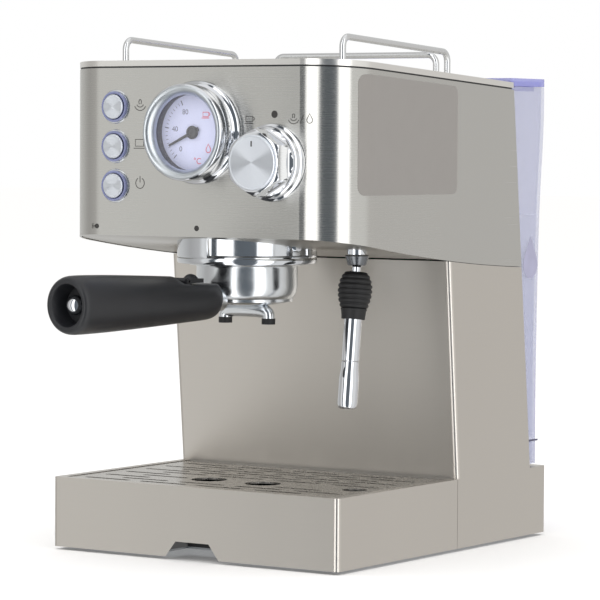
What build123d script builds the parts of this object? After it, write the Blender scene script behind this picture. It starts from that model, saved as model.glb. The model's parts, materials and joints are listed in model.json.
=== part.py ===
from build123d import *
import os
from math import atan2, cos, degrees, radians, sin

os.makedirs("parts", exist_ok=True)

# Pump espresso machine, in millimetres. X runs across, Y from front to back, Z up.
# Everything is drawn with y = 0 at the front of the base and z = 0 on the table,
# then moved along Y so that the origin is under the middle of the whole machine.

# ---------------------------------------------------------------- driving dimensions
WIDTH = 210.0  # across the sheet metal
BASE_DEPTH = 246.0
BASE_TOP = 45.0
SKIRT_BOTTOM = 2.0  # the sheet metal stops this far above the table
SHEET = 1.2
SEAM = 0.3  # gap between two sheet parts, or between a soft part and a hard one
FIT = 0.05  # radial clearance of a shaft in its bore
SLIDE_GAP = 0.3  # clearance of parts that slide past each other

TRAY_DEPTH = 135.0  # the drawer that fills the front of the base
EDGE_R = 3.0  # bend radius of the sheet corners
NOTCH_BOTTOM = 43.0
NOTCH_TOP = 25.0
NOTCH_Z = 11.5

TOWER_FOOT = 135.5  # front of the tower at the base top
TOWER_LEAN = 12.0 / 136.0
REAR_FOOT = 225.0  # rear of the tower at the base top
REAR_LEAN = 25.0 / 244.0

HEAD_FRONT = 5.0
HEAD_R = 32.0  # plan radius of the head's front corners
HEAD_TOP = 301.0  # top of the rim at the front
TOP_FALL = 0.054  # the top falls this much per millimetre towards the back
RIM = 4.5  # height of the rim above its seam
UNDER_FRONT = 195.0  # underside of the head at its front, middle and back
UNDER_MID = 183.5
UNDER_BACK = 174.0
UNDER_MID_Y = 90.0
UNDER_BACK_Y = 213.0

COLLAR_R = 42.9
COLLAR_INSET = 9.6  # the collar stands this far behind the head's front
GROUP_Y = HEAD_FRONT + COLLAR_INSET + COLLAR_R  # centre of the brew group
COLLAR_BOTTOM = 178.0
COLLAR_TOP = 199.0
BOWL_R = 31.0
BOWL_BOTTOM = 152.0
RIM_TOP = 186.0  # top of the portafilter's ring
BASKET_R = 28.0
LUG_R = 38.0
HANDLE_Z = 157.5
HANDLE_TURN = -6.0  # degrees from straight ahead, towards -X
HANDLE_START = 33.5
HANDLE_END = 160.0
HANDLE_R = 17.2
SPOUT_X = 16.0

WAND_X = 77.0
WAND_Y = 62.0
WAND_Z = 181.0  # centre of the wand's ball
WAND_LEAN = 6.5  # degrees, tip towards the front
BALL_R = 4.5
PIPE_R = 5.4

BUTTON_X = -61.5
BUTTON_Z = (273.0, 249.0, 225.0)
BUTTON_NAMES = ("button_steam", "button_brew", "button_power")
BUTTON_R = 7.4
BUTTON_RING_R = 10.3
BUTTON_PROUD = 3.4
BUTTON_TRAVEL = 2.5

GAUGE_Z = 257.5
GAUGE_R = 29.0
GAUGE_FLANGE_R = 31.0
GAUGE_PROUD = 18.0
WINDOW_R = 24.0
NEEDLE_TURN = 25.0  # degrees below the left-hand horizontal at rest

KNOB_X = 54.0
KNOB_Z = 240.0
KNOB_RING_R = 23.0
KNOB_R = 20.0  # over its corners
KNOB_FLAT = 17.6  # from its axis to each flat
KNOB_FACE_R = 16.5
KNOB_PROUD = 22.5
SPINDLE_R = 3.0

RAIL_X = 80.0
RAIL_Y = (40.0, 160.0)
REAR_RAIL_X = 61.0
REAR_RAIL_Y = 178.0
RAIL_HEIGHT = 18.0
WIRE_R = 2.0
RAIL_BEND = 6.0

TANK_X = 102.5
TANK_TOP = HEAD_TOP - 13.0  # the tank stands this far below the rim
TANK_BOTTOM = 47.0
TANK_FLOOR = 62.0
TANK_WALL = 2.0
TANK_CORNER_R = 9.0
TANK_BACK = 250.0  # rear of the tank at its top
TANK_FOOT_BACK = 242.6  # and at its foot
LID_RISE = 5.0

FOOT_R = 9.0
FOOT_X = 85.0
PLATE_Z = 4.0
PLATE = 1.5

HALF = WIDTH / 2
INNER = HALF - SHEET
PANEL_BACK = HEAD_FRONT + SHEET
SKY = HEAD_TOP + 100.0  # cutting shapes reach from 0 up to here,
FAR = WIDTH  # out to here on both sides
PLAN_BACK = REAR_FOOT + 37.0  # and this far back
WAND_TIP_REACH = 89.0  # from the ball's centre to the end of the froth sleeve

# ------------------------------------------------------------------- small helpers
TURN = radians(HANDLE_TURN)
HANDLE_DIR = Vector(sin(TURN), -cos(TURN), 0)
HANDLE_SIDE = Vector(cos(TURN), sin(TURN), 0)
FRONT_REACH = GROUP_Y - HANDLE_END * cos(TURN) - HANDLE_R * abs(sin(TURN))
Y_MIDDLE = (FRONT_REACH + TANK_BACK) / 2
LEAN = radians(WAND_LEAN)
WAND_BALL = Vector(WAND_X, WAND_Y, WAND_Z)
WAND_DIR = Vector(0, -sin(LEAN), -cos(LEAN))


def save(name, *shapes):
    """Writes one node, moved to the machine's own origin."""
    moved = [Pos(0, -Y_MIDDLE, 0) * shape for shape in shapes]
    solids = [solid for shape in moved for solid in shape.solids()]
    export_step(Compound(children=solids), f"parts/{name}.step")


def block(x0, x1, y0, y1, z0, z1):
    middle = Pos((x0 + x1) / 2, (y0 + y1) / 2, (z0 + z1) / 2)
    return middle * Box(x1 - x0, y1 - y0, z1 - z0)


def rod(start, end, radius):
    start, end = Vector(*start), Vector(*end)
    run = end - start
    low = (Align.CENTER, Align.CENTER, Align.MIN)
    return Plane(origin=start, z_dir=run) * Cylinder(radius, run.length, align=low)


def pipe(start, end, radius, bore):
    return rod(start, end, radius) - rod(start, end, bore)


def front_rod(x, z, y0, y1, radius):
    return rod((x, y0, z), (x, y1, z), radius)


def slab(points, x0, x1):
    """A prism along X from its outline, given as (y, z) corners."""
    face = make_face(Polyline(*points, close=True))
    return Pos(x0, 0, 0) * extrude(Plane.YZ * face, amount=x1 - x0)


def lathe(points, plane):
    """A turned solid: (radius, distance) corners about the plane's own Z axis."""
    outline = make_face(Polyline(*[(r, 0, h) for r, h in points], close=True))
    return plane * revolve(outline, Axis.Z)


def wire(points, radius, bend):
    path = FilletPolyline(*points, radius=bend)
    start = Plane(origin=path @ 0, z_dir=path % 0)
    return sweep(start * Circle(radius), path=path)


def rear_y(z):
    return REAR_FOOT - (z - BASE_TOP) * REAR_LEAN


def tower_y(z):
    return TOWER_FOOT - (z - BASE_TOP) * TOWER_LEAN


def top_z(y):
    return HEAD_TOP - (y - HEAD_FRONT) * TOP_FALL


def under_z(y):
    """Height of the head's underside: a shallow curve through its three heights."""
    a, b, c = HEAD_FRONT, UNDER_MID_Y, UNDER_BACK_Y
    front = UNDER_FRONT * (y - b) * (y - c) / ((a - b) * (a - c))
    middle = UNDER_MID * (y - a) * (y - c) / ((b - a) * (b - c))
    back = UNDER_BACK * (y - a) * (y - b) / ((c - a) * (c - b))
    return front + middle + back


def under_curve(shift):
    first, last = -10.0, PLAN_BACK
    mid = (first + last) / 2
    ends = [(y, under_z(y) + shift) for y in (first, mid, last)]
    return ThreePointArc(*ends)


def below_head(shift):
    """Everything under the head's underside, moved up by shift."""
    curve = under_curve(shift)
    left, right = curve @ 0, curve @ 1
    rest = Polyline(right, (right.X, 0), (left.X, 0), left)
    face = make_face([curve, rest])
    return Pos(-FAR, 0, 0) * extrude(Plane.YZ * face, amount=2 * FAR)


def above_head(shift):
    """Everything over the head's underside, moved up by shift."""
    curve = under_curve(shift)
    left, right = curve @ 0, curve @ 1
    rest = Polyline(right, (right.X, SKY), (left.X, SKY), left)
    face = make_face([curve, rest])
    return Pos(-FAR, 0, 0) * extrude(Plane.YZ * face, amount=2 * FAR)


def above_top(shift):
    """Everything over the top surface, moved up by shift."""
    y0, y1 = -BASE_DEPTH, PLAN_BACK + SHEET
    return slab([(y0, top_z(y0) + shift), (y1, top_z(y1) + shift), (y1, SKY), (y0, SKY)], -FAR, FAR)


def behind(shift):
    """Everything behind the rear plane, moved back by shift."""
    line = [(rear_y(0) + shift, 0), (rear_y(SKY) + shift, SKY)]
    deep = 2 * PLAN_BACK
    return slab([*line, (deep, SKY), (deep, 0)], -FAR, FAR)


def head_plan(inset, past=0.0):
    """The head's plan, rounded at the front, as a tall block that may reach further down and up."""
    side, front = HALF - inset, HEAD_FRONT + inset
    solid = block(-side, side, front, PLAN_BACK, UNDER_BACK / 2 - past, SKY / 2 + HEAD_TOP / 2 + past)
    corners = solid.edges().filter_by(Axis.Z).group_by(Axis.Y)[0]
    return fillet(corners, HEAD_R - inset)


# ------------------------------------------------------------- base, feet and tray
def bent_front(x, y0, y1, z0, z1, radius):
    solid = block(-x, x, y0, y1, z0, z1)
    corners = solid.edges().filter_by(Axis.Z).group_by(Axis.Y)[0]
    return fillet(corners, radius)


PLATE_FRONT = 8.0
PLATE_TOP = PLATE_Z + PLATE
PLATE_X = INNER - 1.0
FOOT_Y = (24.0, BASE_DEPTH - 24.0)


def make_chassis_plate():
    plate = block(-PLATE_X, PLATE_X, PLATE_FRONT, BASE_DEPTH - SHEET, PLATE_Z, PLATE_TOP)
    # Folded flanges at the back half carry the base shell.
    for side in (-1, 1):
        x0, x1 = sorted((side * PLATE_X, side * (PLATE_X - SHEET)))
        plate += block(x0, x1, TRAY_DEPTH + 6, BASE_DEPTH - 6, PLATE_TOP, 30)
    relief = block(-NOTCH_BOTTOM / 2, NOTCH_BOTTOM / 2, 0, 26, 0, 10)
    return plate - relief


def make_feet():
    feet = []
    for x in (-FOOT_X, FOOT_X):
        for y in FOOT_Y:
            feet.append(Pos(x, y, PLATE_Z / 2) * Cylinder(FOOT_R, PLATE_Z))
    return feet


NECK_X, NECK_Y = 0.0, 234.6
NECK_R = 4.5
NECK_BORE = 3.0
SOCKET_R = NECK_R + SLIDE_GAP + 0.9
DOCK_TOP = 58.0
HOSE_R = 3.5
GLAND_X, GLAND_Z = -60.0, 24.0
GLAND_R = 7.0
CORD_R = 3.6


def make_base_shell():
    outer = block(-HALF, HALF, TRAY_DEPTH + SEAM, BASE_DEPTH, SKIRT_BOTTOM, BASE_TOP)
    rear = outer.edges().filter_by(Axis.Z).group_by(Axis.Y)[-1]
    outer = fillet(rear, EDGE_R)
    hollow = block(-INNER, INNER, 0, BASE_DEPTH - SHEET, 0, BASE_TOP - SHEET)
    shell = outer - hollow
    shell -= block(-HALF + 6, HALF - 6, 0, REAR_FOOT - 8, BASE_TOP - 5, BASE_TOP + 5)
    # A bulkhead closes the base behind the drip tray.
    wall_y = TRAY_DEPTH + SEAM
    shell += block(-INNER, INNER, wall_y, wall_y + SHEET, PLATE_TOP, BASE_TOP)
    shell -= rod((NECK_X, NECK_Y, BASE_TOP - 5), (NECK_X, NECK_Y, BASE_TOP + 5), HOSE_R + FIT)
    shell -= front_rod(GLAND_X, GLAND_Z, BASE_DEPTH - 10, BASE_DEPTH + 10, GLAND_R - 1.5)
    return shell


def make_cord_gland():
    flange = front_rod(GLAND_X, GLAND_Z, BASE_DEPTH, BASE_DEPTH + 2, GLAND_R)
    barrel = front_rod(GLAND_X, GLAND_Z, BASE_DEPTH - 10, BASE_DEPTH, GLAND_R - 1.5)
    return flange + barrel - front_rod(GLAND_X, GLAND_Z, 0, 300, CORD_R)


def notch(depth, grow):
    points = [
        (-NOTCH_BOTTOM / 2 - grow, 0),
        (NOTCH_BOTTOM / 2 + grow, 0),
        (NOTCH_TOP / 2 + grow, NOTCH_Z + grow),
        (-NOTCH_TOP / 2 - grow, NOTCH_Z + grow),
    ]
    face = make_face(Polyline(*points, close=True))
    return Pos(0, depth, 0) * extrude(Plane.XZ * face, amount=depth + 5)


LEDGE = 6.0  # width of the tray's turned-in top edge
BASIN_FLOOR = 8.0
BASIN_X = INNER - SLIDE_GAP
BASIN_Y = (SHEET + SLIDE_GAP, TRAY_DEPTH - SEAM)
GRID_TOP = BASE_TOP - 0.4
GRID_X = HALF - LEDGE - SLIDE_GAP
GRID_Y = (LEDGE + SLIDE_GAP, TRAY_DEPTH - 4.0)
GRID_THICK = 1.2
CUP_R = 11.0
CUP_X = 20.0
CUP_Y = 46.5
FINGER_X, FINGER_Y = 84.0, 50.0


def make_tray_shell():
    outer = bent_front(HALF, 0, TRAY_DEPTH, SKIRT_BOTTOM, BASE_TOP, EDGE_R)
    hollow = bent_front(INNER, SHEET, TRAY_DEPTH + 9, 0, BASE_TOP - SHEET, EDGE_R - SHEET)
    shell = outer - hollow
    shell -= block(-HALF + LEDGE, HALF - LEDGE, LEDGE, TRAY_DEPTH + 9, BASE_TOP - 5, BASE_TOP + 5)
    return shell - notch(SHEET + 2, 0)


def make_tray_basin():
    z0, z1 = PLATE_TOP + SLIDE_GAP, BASE_TOP - SHEET
    y0, y1 = BASIN_Y
    basin = bent_front(BASIN_X, y0, y1, z0, z1, EDGE_R - SHEET)
    wall = 1.8
    inside = block(-BASIN_X + wall, BASIN_X - wall, y0 + wall, y1 - wall, BASIN_FLOOR, z1 + 1)
    hump_top = NOTCH_Z + 4.0
    hump = block(-NOTCH_BOTTOM / 2 - 4, NOTCH_BOTTOM / 2 + 4, y0, 26, z0, hump_top)
    finger = notch(22, 1.0)
    basin = basin - inside + (hump & basin) + (hump - basin)
    basin -= finger
    # A ledge all round carries the drip grid.
    rest_z = GRID_TOP - GRID_THICK
    ledge = block(-BASIN_X + wall, BASIN_X - wall, y0 + wall, y1 - wall, rest_z - 2, rest_z)
    ledge -= block(-GRID_X + 4, GRID_X - 4, GRID_Y[0] + 4, GRID_Y[1] - 4, 0, 60)
    basin += ledge
    basin -= block(-GRID_X - 1, GRID_X + 1, GRID_Y[0] - 1, GRID_Y[1] + 1, rest_z, 60)
    return basin


def grid_slots():
    """Rows of long slots along X; each is (centre x, centre y, length)."""
    slots = []
    for row, y in enumerate([14.0 + 10.5 * i for i in range(11)]):
        shift = 0 if row % 2 == 0 else 21.0
        x = -73.5 + shift
        while x <= 73.5 + 0.1:
            near_cup = abs(y - CUP_Y) < CUP_R + 4 and abs(abs(x) - CUP_X) < CUP_R + 21
            near_finger = abs(y - FINGER_Y) < 14 and x > 45
            if not near_cup and not near_finger:
                slots.append((x, y, 34.0))
            x += 42.0
    return slots


def make_drip_grid():
    x, (y0, y1) = GRID_X, GRID_Y
    grid = bent_front(x, y0, y1, GRID_TOP - GRID_THICK, GRID_TOP, 2.0)
    cuts = []
    for cx, cy, length in grid_slots():
        cuts.append(Pos(cx, cy, GRID_TOP) * extrude(SlotOverall(length, 3.6), 5, both=True))
    for cx in (-CUP_X, CUP_X):
        cuts.append(Pos(cx, CUP_Y, GRID_TOP) * Cylinder(CUP_R, 10))
    cuts.append(Pos(FINGER_X, FINGER_Y, GRID_TOP) * Cylinder(7.5, 10))
    return grid - cuts


# -------------------------------------------------------------- tower and back
def tower_block(inset, open_back):
    z0 = BASE_TOP - 5 if open_back else BASE_TOP
    z1 = UNDER_FRONT + 10.0
    front = [(tower_y(z0) + inset, z0), (tower_y(z1) + inset, z1)]
    rear = [(rear_y(z1) + open_back, z1), (rear_y(z0) + open_back, z0)]
    solid = slab([*front, *rear], -HALF + inset, HALF - inset)
    edges = solid.edges().filter_by(lambda e: abs(e.center().X) > HALF - inset - 0.1)
    edges = edges.filter_by(lambda e: e.length > 100).sort_by(Axis.Y)[0:2]
    return fillet(edges, EDGE_R - inset)


def make_tower_shell():
    return tower_block(0, 0) - tower_block(SHEET, 20) - above_head(-SEAM)


PANEL_X = INNER - SEAM
BACK_TOP = TANK_TOP - 4.0


def make_back_panel():
    z0 = BASE_TOP + SEAM
    line = [(rear_y(z0) - SHEET, z0), (rear_y(z0), z0), (rear_y(BACK_TOP), BACK_TOP)]
    return slab([*line, (rear_y(BACK_TOP) - SHEET, BACK_TOP)], -PANEL_X, PANEL_X)


# ------------------------------------------------------------------------- head
KNOB_HOLE_R = 7.5
CASE_R = 25.2
COLLAR_HOLE_R = COLLAR_R - 4.0
WAND_NUT_R = 8.0


def make_head_shell():
    shell = head_plan(0) - head_plan(SHEET, past=10)
    shell = shell - below_head(0) - above_top(-RIM) - behind(0)
    for z in BUTTON_Z:
        shell -= front_rod(BUTTON_X, z, 0, 10, BUTTON_RING_R - 1)
    shell -= front_rod(0, GAUGE_Z, 0, 10, CASE_R + FIT)
    return shell - front_rod(KNOB_X, KNOB_Z, 0, 10, KNOB_HOLE_R)


FLOOR_RAISE = 0.5  # the floor sheet lies this far inside the shell's lower edge
FLOOR_THICK = 1.5


def make_head_floor():
    floor = head_plan(SHEET + SEAM) - below_head(FLOOR_RAISE) - above_head(FLOOR_RAISE + FLOOR_THICK)
    back = tower_y(UNDER_MID)
    floor -= block(-FAR, FAR, back - 2, 2 * PLAN_BACK, 0, SKY)
    floor -= rod((0, GROUP_Y, 0), (0, GROUP_Y, SKY), COLLAR_HOLE_R)
    socket = ((WAND_X, WAND_Y, 0), (WAND_X, WAND_Y, SKY))
    return floor - rod(*socket, WAND_NUT_R - 2 + FIT)


COVER = 1.5


def make_top_cover():
    cover = head_plan(0) - above_top(0) - behind(-SEAM)
    under = head_plan(SHEET, past=5) - above_top(-COVER)
    cover = cover - under - (head_plan(-5, past=10) - above_top(-RIM + 1))
    for x, y in rail_feet():
        cover -= rod((x, y, 0), (x, y, SKY), WIRE_R + FIT)
    return cover


def make_top_seam():
    """The dark strip that shows under the rim and lines its inside."""
    strip = head_plan(0.4) - head_plan(SHEET + 1.5, past=5)
    strip = strip - above_top(-RIM + 1) - behind(-2)
    strip -= head_plan(-5, past=10) - above_top(-RIM)
    return strip


def rail_feet():
    feet = [(side * RAIL_X, y) for side in (-1, 1) for y in RAIL_Y]
    feet += [(side * REAR_RAIL_X, REAR_RAIL_Y) for side in (-1, 1)]
    return feet


def make_side_rail(side):
    x = side * RAIL_X
    foot = COVER + 2.0
    rise = RAIL_HEIGHT - WIRE_R
    y0, y1 = RAIL_Y
    points = [
        (x, y0, top_z(y0) - foot),
        (x, y0, top_z(y0) + rise),
        (x, y1, top_z(y1) + rise),
        (x, y1, top_z(y1) - foot),
    ]
    return wire(points, WIRE_R, RAIL_BEND)


def make_rear_rail():
    low, high = top_z(REAR_RAIL_Y) - COVER - 2.0, top_z(REAR_RAIL_Y) + RAIL_HEIGHT - WIRE_R
    x, y = REAR_RAIL_X, REAR_RAIL_Y
    return wire([(-x, y, low), (-x, y, high), (x, y, high), (x, y, low)], WIRE_R, RAIL_BEND)


LABEL_Y = (23.2, 131.0)
LABEL_Z = (HEAD_TOP - 80.0, HEAD_TOP - 9.0)
LABEL_THICK = 0.25
LABEL_CORNER = 5.0


def make_side_label():
    """A blank film on the right side, whose front edge follows the bend of the sheet."""
    (y0, y1), (z0, z1) = LABEL_Y, LABEL_Z
    outline = block(HALF / 2, HALF + 5, y0, y1, z0, z1) - above_top(-RIM - 3)
    outline = fillet(outline.edges().filter_by(Axis.X), LABEL_CORNER)
    return outline & (head_plan(-LABEL_THICK) - head_plan(0, past=10))


# ---------------------------------------------------------------- controls
BLOCK_Y = (13.0, 36.0)
STEM_R = 3.0


def make_button(z):
    face = HEAD_FRONT - BUTTON_PROUD
    cap = front_rod(BUTTON_X, z, face, face + 6.0, BUTTON_R)
    cap = chamfer(cap.edges().group_by(Axis.Y)[0], 0.6)
    return cap + front_rod(BUTTON_X, z, face + 6.0, BLOCK_Y[0] + 6.0, STEM_R)


def make_button_rings():
    rings = []
    for z in BUTTON_Z:
        front = HEAD_FRONT - 2.2
        flange = front_rod(BUTTON_X, z, front, HEAD_FRONT, BUTTON_RING_R)
        flange = fillet(flange.edges().group_by(Axis.Y)[0], 1.2)
        barrel = front_rod(BUTTON_X, z, HEAD_FRONT, BLOCK_Y[0], BUTTON_RING_R - 1 - FIT)
        bore = front_rod(BUTTON_X, z, 0, 50, BUTTON_R + SLIDE_GAP)
        rings.append(flange + barrel - bore)
    return rings


def make_switch_block():
    half = BUTTON_RING_R + 1
    y0, y1 = BLOCK_Y
    body = block(BUTTON_X - half, BUTTON_X + half, y0, y1, BUTTON_Z[2] - half, BUTTON_Z[0] + half)
    for z in BUTTON_Z:
        body -= front_rod(BUTTON_X, z, y0 - 1, y0 + 6.0 + BUTTON_TRAVEL + 1, STEM_R + FIT * 2)
    return body


DIAL_Y = HEAD_FRONT - 5.0  # front of the dial
LENS_Y = HEAD_FRONT - GAUGE_PROUD + 1.6
PIN_R = 0.9
HUB_R = 3.6


def make_gauge_bezel():
    front = HEAD_FRONT - GAUGE_PROUD
    axis = Plane(origin=(0, HEAD_FRONT, GAUGE_Z), z_dir=(0, -1, 0))
    outline = [
        (CASE_R + FIT, 0),
        (GAUGE_FLANGE_R, 0),
        (GAUGE_FLANGE_R, 2.5),
        (GAUGE_R - 1.5, 5.0),
        (GAUGE_R - 1.5, GAUGE_PROUD - 7.0),
        (GAUGE_R, GAUGE_PROUD - 6.0),
        (GAUGE_R, GAUGE_PROUD - 2.0),
        (GAUGE_R - 2.0, GAUGE_PROUD),
        (WINDOW_R + 1.0, GAUGE_PROUD),
        (WINDOW_R, GAUGE_PROUD - 1.0),
        (WINDOW_R, GAUGE_PROUD - 1.6),
        (CASE_R + FIT, GAUGE_PROUD - 1.6),
    ]
    return lathe(outline, axis)


def make_gauge_lens():
    return front_rod(0, GAUGE_Z, LENS_Y, LENS_Y + 1.2, CASE_R)


def make_gauge_dial():
    disc = front_rod(0, GAUGE_Z, DIAL_Y, DIAL_Y + 1.2, CASE_R)
    return disc - front_rod(0, GAUGE_Z, DIAL_Y - 5, DIAL_Y + 5, PIN_R + FIT)


def make_gauge_case():
    case = front_rod(0, GAUGE_Z, DIAL_Y + 1.2, 20.0, CASE_R)
    return case - front_rod(0, GAUGE_Z, DIAL_Y, DIAL_Y + 8, PIN_R + FIT)


def make_gauge_needle():
    y0, y1 = DIAL_Y - 2.2, DIAL_Y - SLIDE_GAP
    hub = front_rod(0, GAUGE_Z, y0, y1, HUB_R) + front_rod(0, GAUGE_Z, y1, DIAL_Y + 6, PIN_R)
    blade = Pos(-9.0, 0, 0) * Box(18.0, 0.8, 1.6)
    tail = Pos(4.0, 0, 0) * Box(8.0, 0.8, 2.2)
    hand = Pos(0, y1 - 0.9, GAUGE_Z) * Rot(0, -NEEDLE_TURN, 0) * (blade + tail)
    return hub + hand


KNOB_BACK = HEAD_FRONT - 7.0  # the back of the turning part
KNOB_SIDES = 6
KNOB_CORNER = 180.0 / KNOB_SIDES  # a flat, not a corner, faces each side


def make_knob_ring():
    axis = Plane(origin=(KNOB_X, HEAD_FRONT, KNOB_Z), z_dir=(0, -1, 0))
    step = HEAD_FRONT - KNOB_BACK - SLIDE_GAP
    outline = [
        (KNOB_HOLE_R, 0),
        (KNOB_RING_R, 0),
        (KNOB_RING_R, 2.2),
        (KNOB_RING_R - 1.2, 3.0),
        (KNOB_RING_R - 2.4, step - 0.8),
        (KNOB_RING_R - 3.4, step),
        (KNOB_HOLE_R, step),
    ]
    return lathe(outline, axis)


def make_selector_knob():
    length = KNOB_PROUD - (HEAD_FRONT - KNOB_BACK) - 2.0
    plane = Plane(origin=(KNOB_X, KNOB_BACK, KNOB_Z), x_dir=(1, 0, 0), z_dir=(0, -1, 0))
    low = (Align.CENTER, Align.CENTER, Align.MIN)
    drum = plane * Cylinder(KNOB_R, length, align=low)
    flats = RegularPolygon(KNOB_FLAT, KNOB_SIDES, major_radius=False)
    prism = plane * extrude(Rot(0, 0, KNOB_CORNER) * flats, length)
    body = drum & prism
    return body - front_rod(KNOB_X, KNOB_Z, -40, 40, SPINDLE_R)


def make_knob_cap():
    front = HEAD_FRONT - KNOB_PROUD
    cap = front_rod(KNOB_X, KNOB_Z, front, front + 2.0, KNOB_FACE_R)
    return chamfer(cap.edges().group_by(Axis.Y)[0], 0.5)


VALVE_Y = (PANEL_BACK, 48.0)
VALVE_R = 11.0


def make_spindle():
    return front_rod(KNOB_X, KNOB_Z, HEAD_FRONT - KNOB_PROUD + 2.0, VALVE_Y[0] + 22.0, SPINDLE_R)


def make_steam_valve():
    y0, y1 = VALVE_Y
    body = front_rod(KNOB_X, KNOB_Z, y0, y1, VALVE_R)
    body -= front_rod(KNOB_X, KNOB_Z, y0 - 1, y0 + 22.0 + 0.5, SPINDLE_R + FIT)
    outlet = rod((KNOB_X, y1 - 8, KNOB_Z), (KNOB_X, y1 - 8, KNOB_Z - 18), 5.0)
    inlet = rod((KNOB_X, y1 - 8, KNOB_Z), (KNOB_X, y1 - 8, KNOB_Z + 18), 5.0)
    return body + (outlet - body) + (inlet - body)


# ---------------------------------------------------------------- brew group
BOILER_R = 34.0
BOILER_FLANGE_R = 41.0
GROUP_PLATE_TOP = 203.0
BOILER_MID = 222.0
BOILER_TOP = 246.0
BOLT_COUNT = 6
GASKET_TOP = 195.0
SCREEN_Z = 189.0
LEDGE_R = LUG_R - 2.0
LUG_Z = (182.5, 185.5)
LUG_HALF = 18.0
GAP_HALF = 24.0
UNLOCK = -48.0


def up_rod(radius, z0, z1):
    return rod((0, GROUP_Y, z0), (0, GROUP_Y, z1), radius)


def sector(radius, inner, z0, z1, middle, half):
    """A piece of a flat ring about the group's axis, from its middle angle and half width."""
    ring = up_rod(radius, z0, z1) - up_rod(inner, z0 - 1, z1 + 1)
    a, b = radians(middle - half), radians(middle + half)
    far = radius * 2
    points = [(0, 0), (far * cos(a), far * sin(a)), (far * cos(b), far * sin(b))]
    wedge = Pos(0, GROUP_Y, z0) * extrude(make_face(Polyline(*points, close=True)), z1 - z0)
    return ring & wedge


def lug_angles():
    return [-90 + HANDLE_TURN + 90, -90 + HANDLE_TURN - 90]


def make_group_collar():
    collar = up_rod(COLLAR_R, COLLAR_BOTTOM, COLLAR_TOP)
    collar -= up_rod(LUG_R + SLIDE_GAP, COLLAR_BOTTOM + 4, COLLAR_TOP + 1)
    collar -= up_rod(LEDGE_R, COLLAR_BOTTOM - 1, COLLAR_BOTTOM + 5)
    below, above = COLLAR_BOTTOM - 1, COLLAR_BOTTOM + 5
    for angle in lug_angles():
        middle = angle + UNLOCK
        collar -= sector(LUG_R + SLIDE_GAP, LEDGE_R - 1, below, above, middle, GAP_HALF)
    # Above the floor sheet the collar steps in to pass through it.
    outside = up_rod(COLLAR_R + 1, 0, SKY) - up_rod(COLLAR_HOLE_R - FIT * 2, -1, SKY + 1)
    return collar - (outside & above_head(FLOOR_RAISE))


def make_group_head():
    head = up_rod(COLLAR_HOLE_R - FIT * 2, COLLAR_TOP, GROUP_PLATE_TOP)
    head += up_rod(LUG_R - 0.2, GASKET_TOP, COLLAR_TOP)
    head += up_rod(27.0, SCREEN_Z + 1.0, GASKET_TOP)
    return head - up_rod(3.0, SCREEN_Z, SCREEN_Z + 8)


def make_group_gasket():
    return up_rod(LUG_R - 0.5, RIM_TOP + 0.8 + SLIDE_GAP, GASKET_TOP) - up_rod(27.0 + FIT, 180, 200)


SCREEN_HOLES = ((8, 6), (14, 12), (20, 18))  # rings of holes: radius and how many
SCREEN_HOLE_R = 0.8


def make_shower_screen():
    screen = up_rod(26.5, SCREEN_Z, SCREEN_Z + 1.0)
    middle = Pos(0, GROUP_Y, SCREEN_Z)
    for radius, count in SCREEN_HOLES:
        for place in PolarLocations(radius, count):
            screen -= middle * place * Cylinder(SCREEN_HOLE_R, 6)
    return screen - up_rod(2.0 + FIT, SCREEN_Z - 2, SCREEN_Z + 4)


def make_screen_screw():
    head = up_rod(4.5, SCREEN_Z - 1.6, SCREEN_Z)
    return head + up_rod(2.0, SCREEN_Z, SCREEN_Z + 7)


def make_boiler_lower():
    body = up_rod(BOILER_R, GROUP_PLATE_TOP, BOILER_MID)
    body += up_rod(BOILER_FLANGE_R, BOILER_MID - 4, BOILER_MID)
    body -= up_rod(BOILER_R - 5, GROUP_PLATE_TOP + 5, BOILER_MID + 1)
    return body - bolt_holes()


def make_boiler_upper():
    body = up_rod(BOILER_R - 8, BOILER_MID, BOILER_TOP)
    body += up_rod(BOILER_FLANGE_R, BOILER_MID, BOILER_MID + 4)
    body -= up_rod(BOILER_R - 13, BOILER_MID - 1, BOILER_TOP - 5)
    return body - bolt_holes()


def bolt_places():
    reach = (BOILER_FLANGE_R + BOILER_R) / 2
    turns = [30 + 360 / BOLT_COUNT * i for i in range(BOLT_COUNT)]
    return [(reach * cos(radians(t)), GROUP_Y + reach * sin(radians(t))) for t in turns]


def bolt_holes():
    return [rod((x, y, BOILER_MID - 9), (x, y, BOILER_MID + 9), 2.0 + FIT) for x, y in bolt_places()]


def make_boiler_bolts():
    bolts = []
    for x, y in bolt_places():
        shank = rod((x, y, BOILER_MID - 4), (x, y, BOILER_MID + 4), 2.0)
        head = rod((x, y, BOILER_MID + 4), (x, y, BOILER_MID + 7), 3.4)
        nut = rod((x, y, BOILER_MID - 7), (x, y, BOILER_MID - 4), 3.2)
        bolts.append(shank + head + nut)
    return bolts


def make_thermostat():
    body = up_rod(7.0, BOILER_TOP, BOILER_TOP + 8)
    return body + block(-5, 5, GROUP_Y - 1, GROUP_Y + 1, BOILER_TOP + 8, BOILER_TOP + 16)


# ---------------------------------------------------------------- portafilter
def along(distance, side=0.0, z=HANDLE_Z):
    """A point at a distance along the handle, from the group's axis."""
    flat = HANDLE_DIR * distance + HANDLE_SIDE * side
    return (flat.X, GROUP_Y + flat.Y, z)


def handle_plane(distance):
    return Plane(origin=along(distance), x_dir=HANDLE_SIDE, z_dir=HANDLE_DIR)


NECK_THICK = 8.0
SPIGOT_R = 5.0
SPIGOT_END = 100.0


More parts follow.
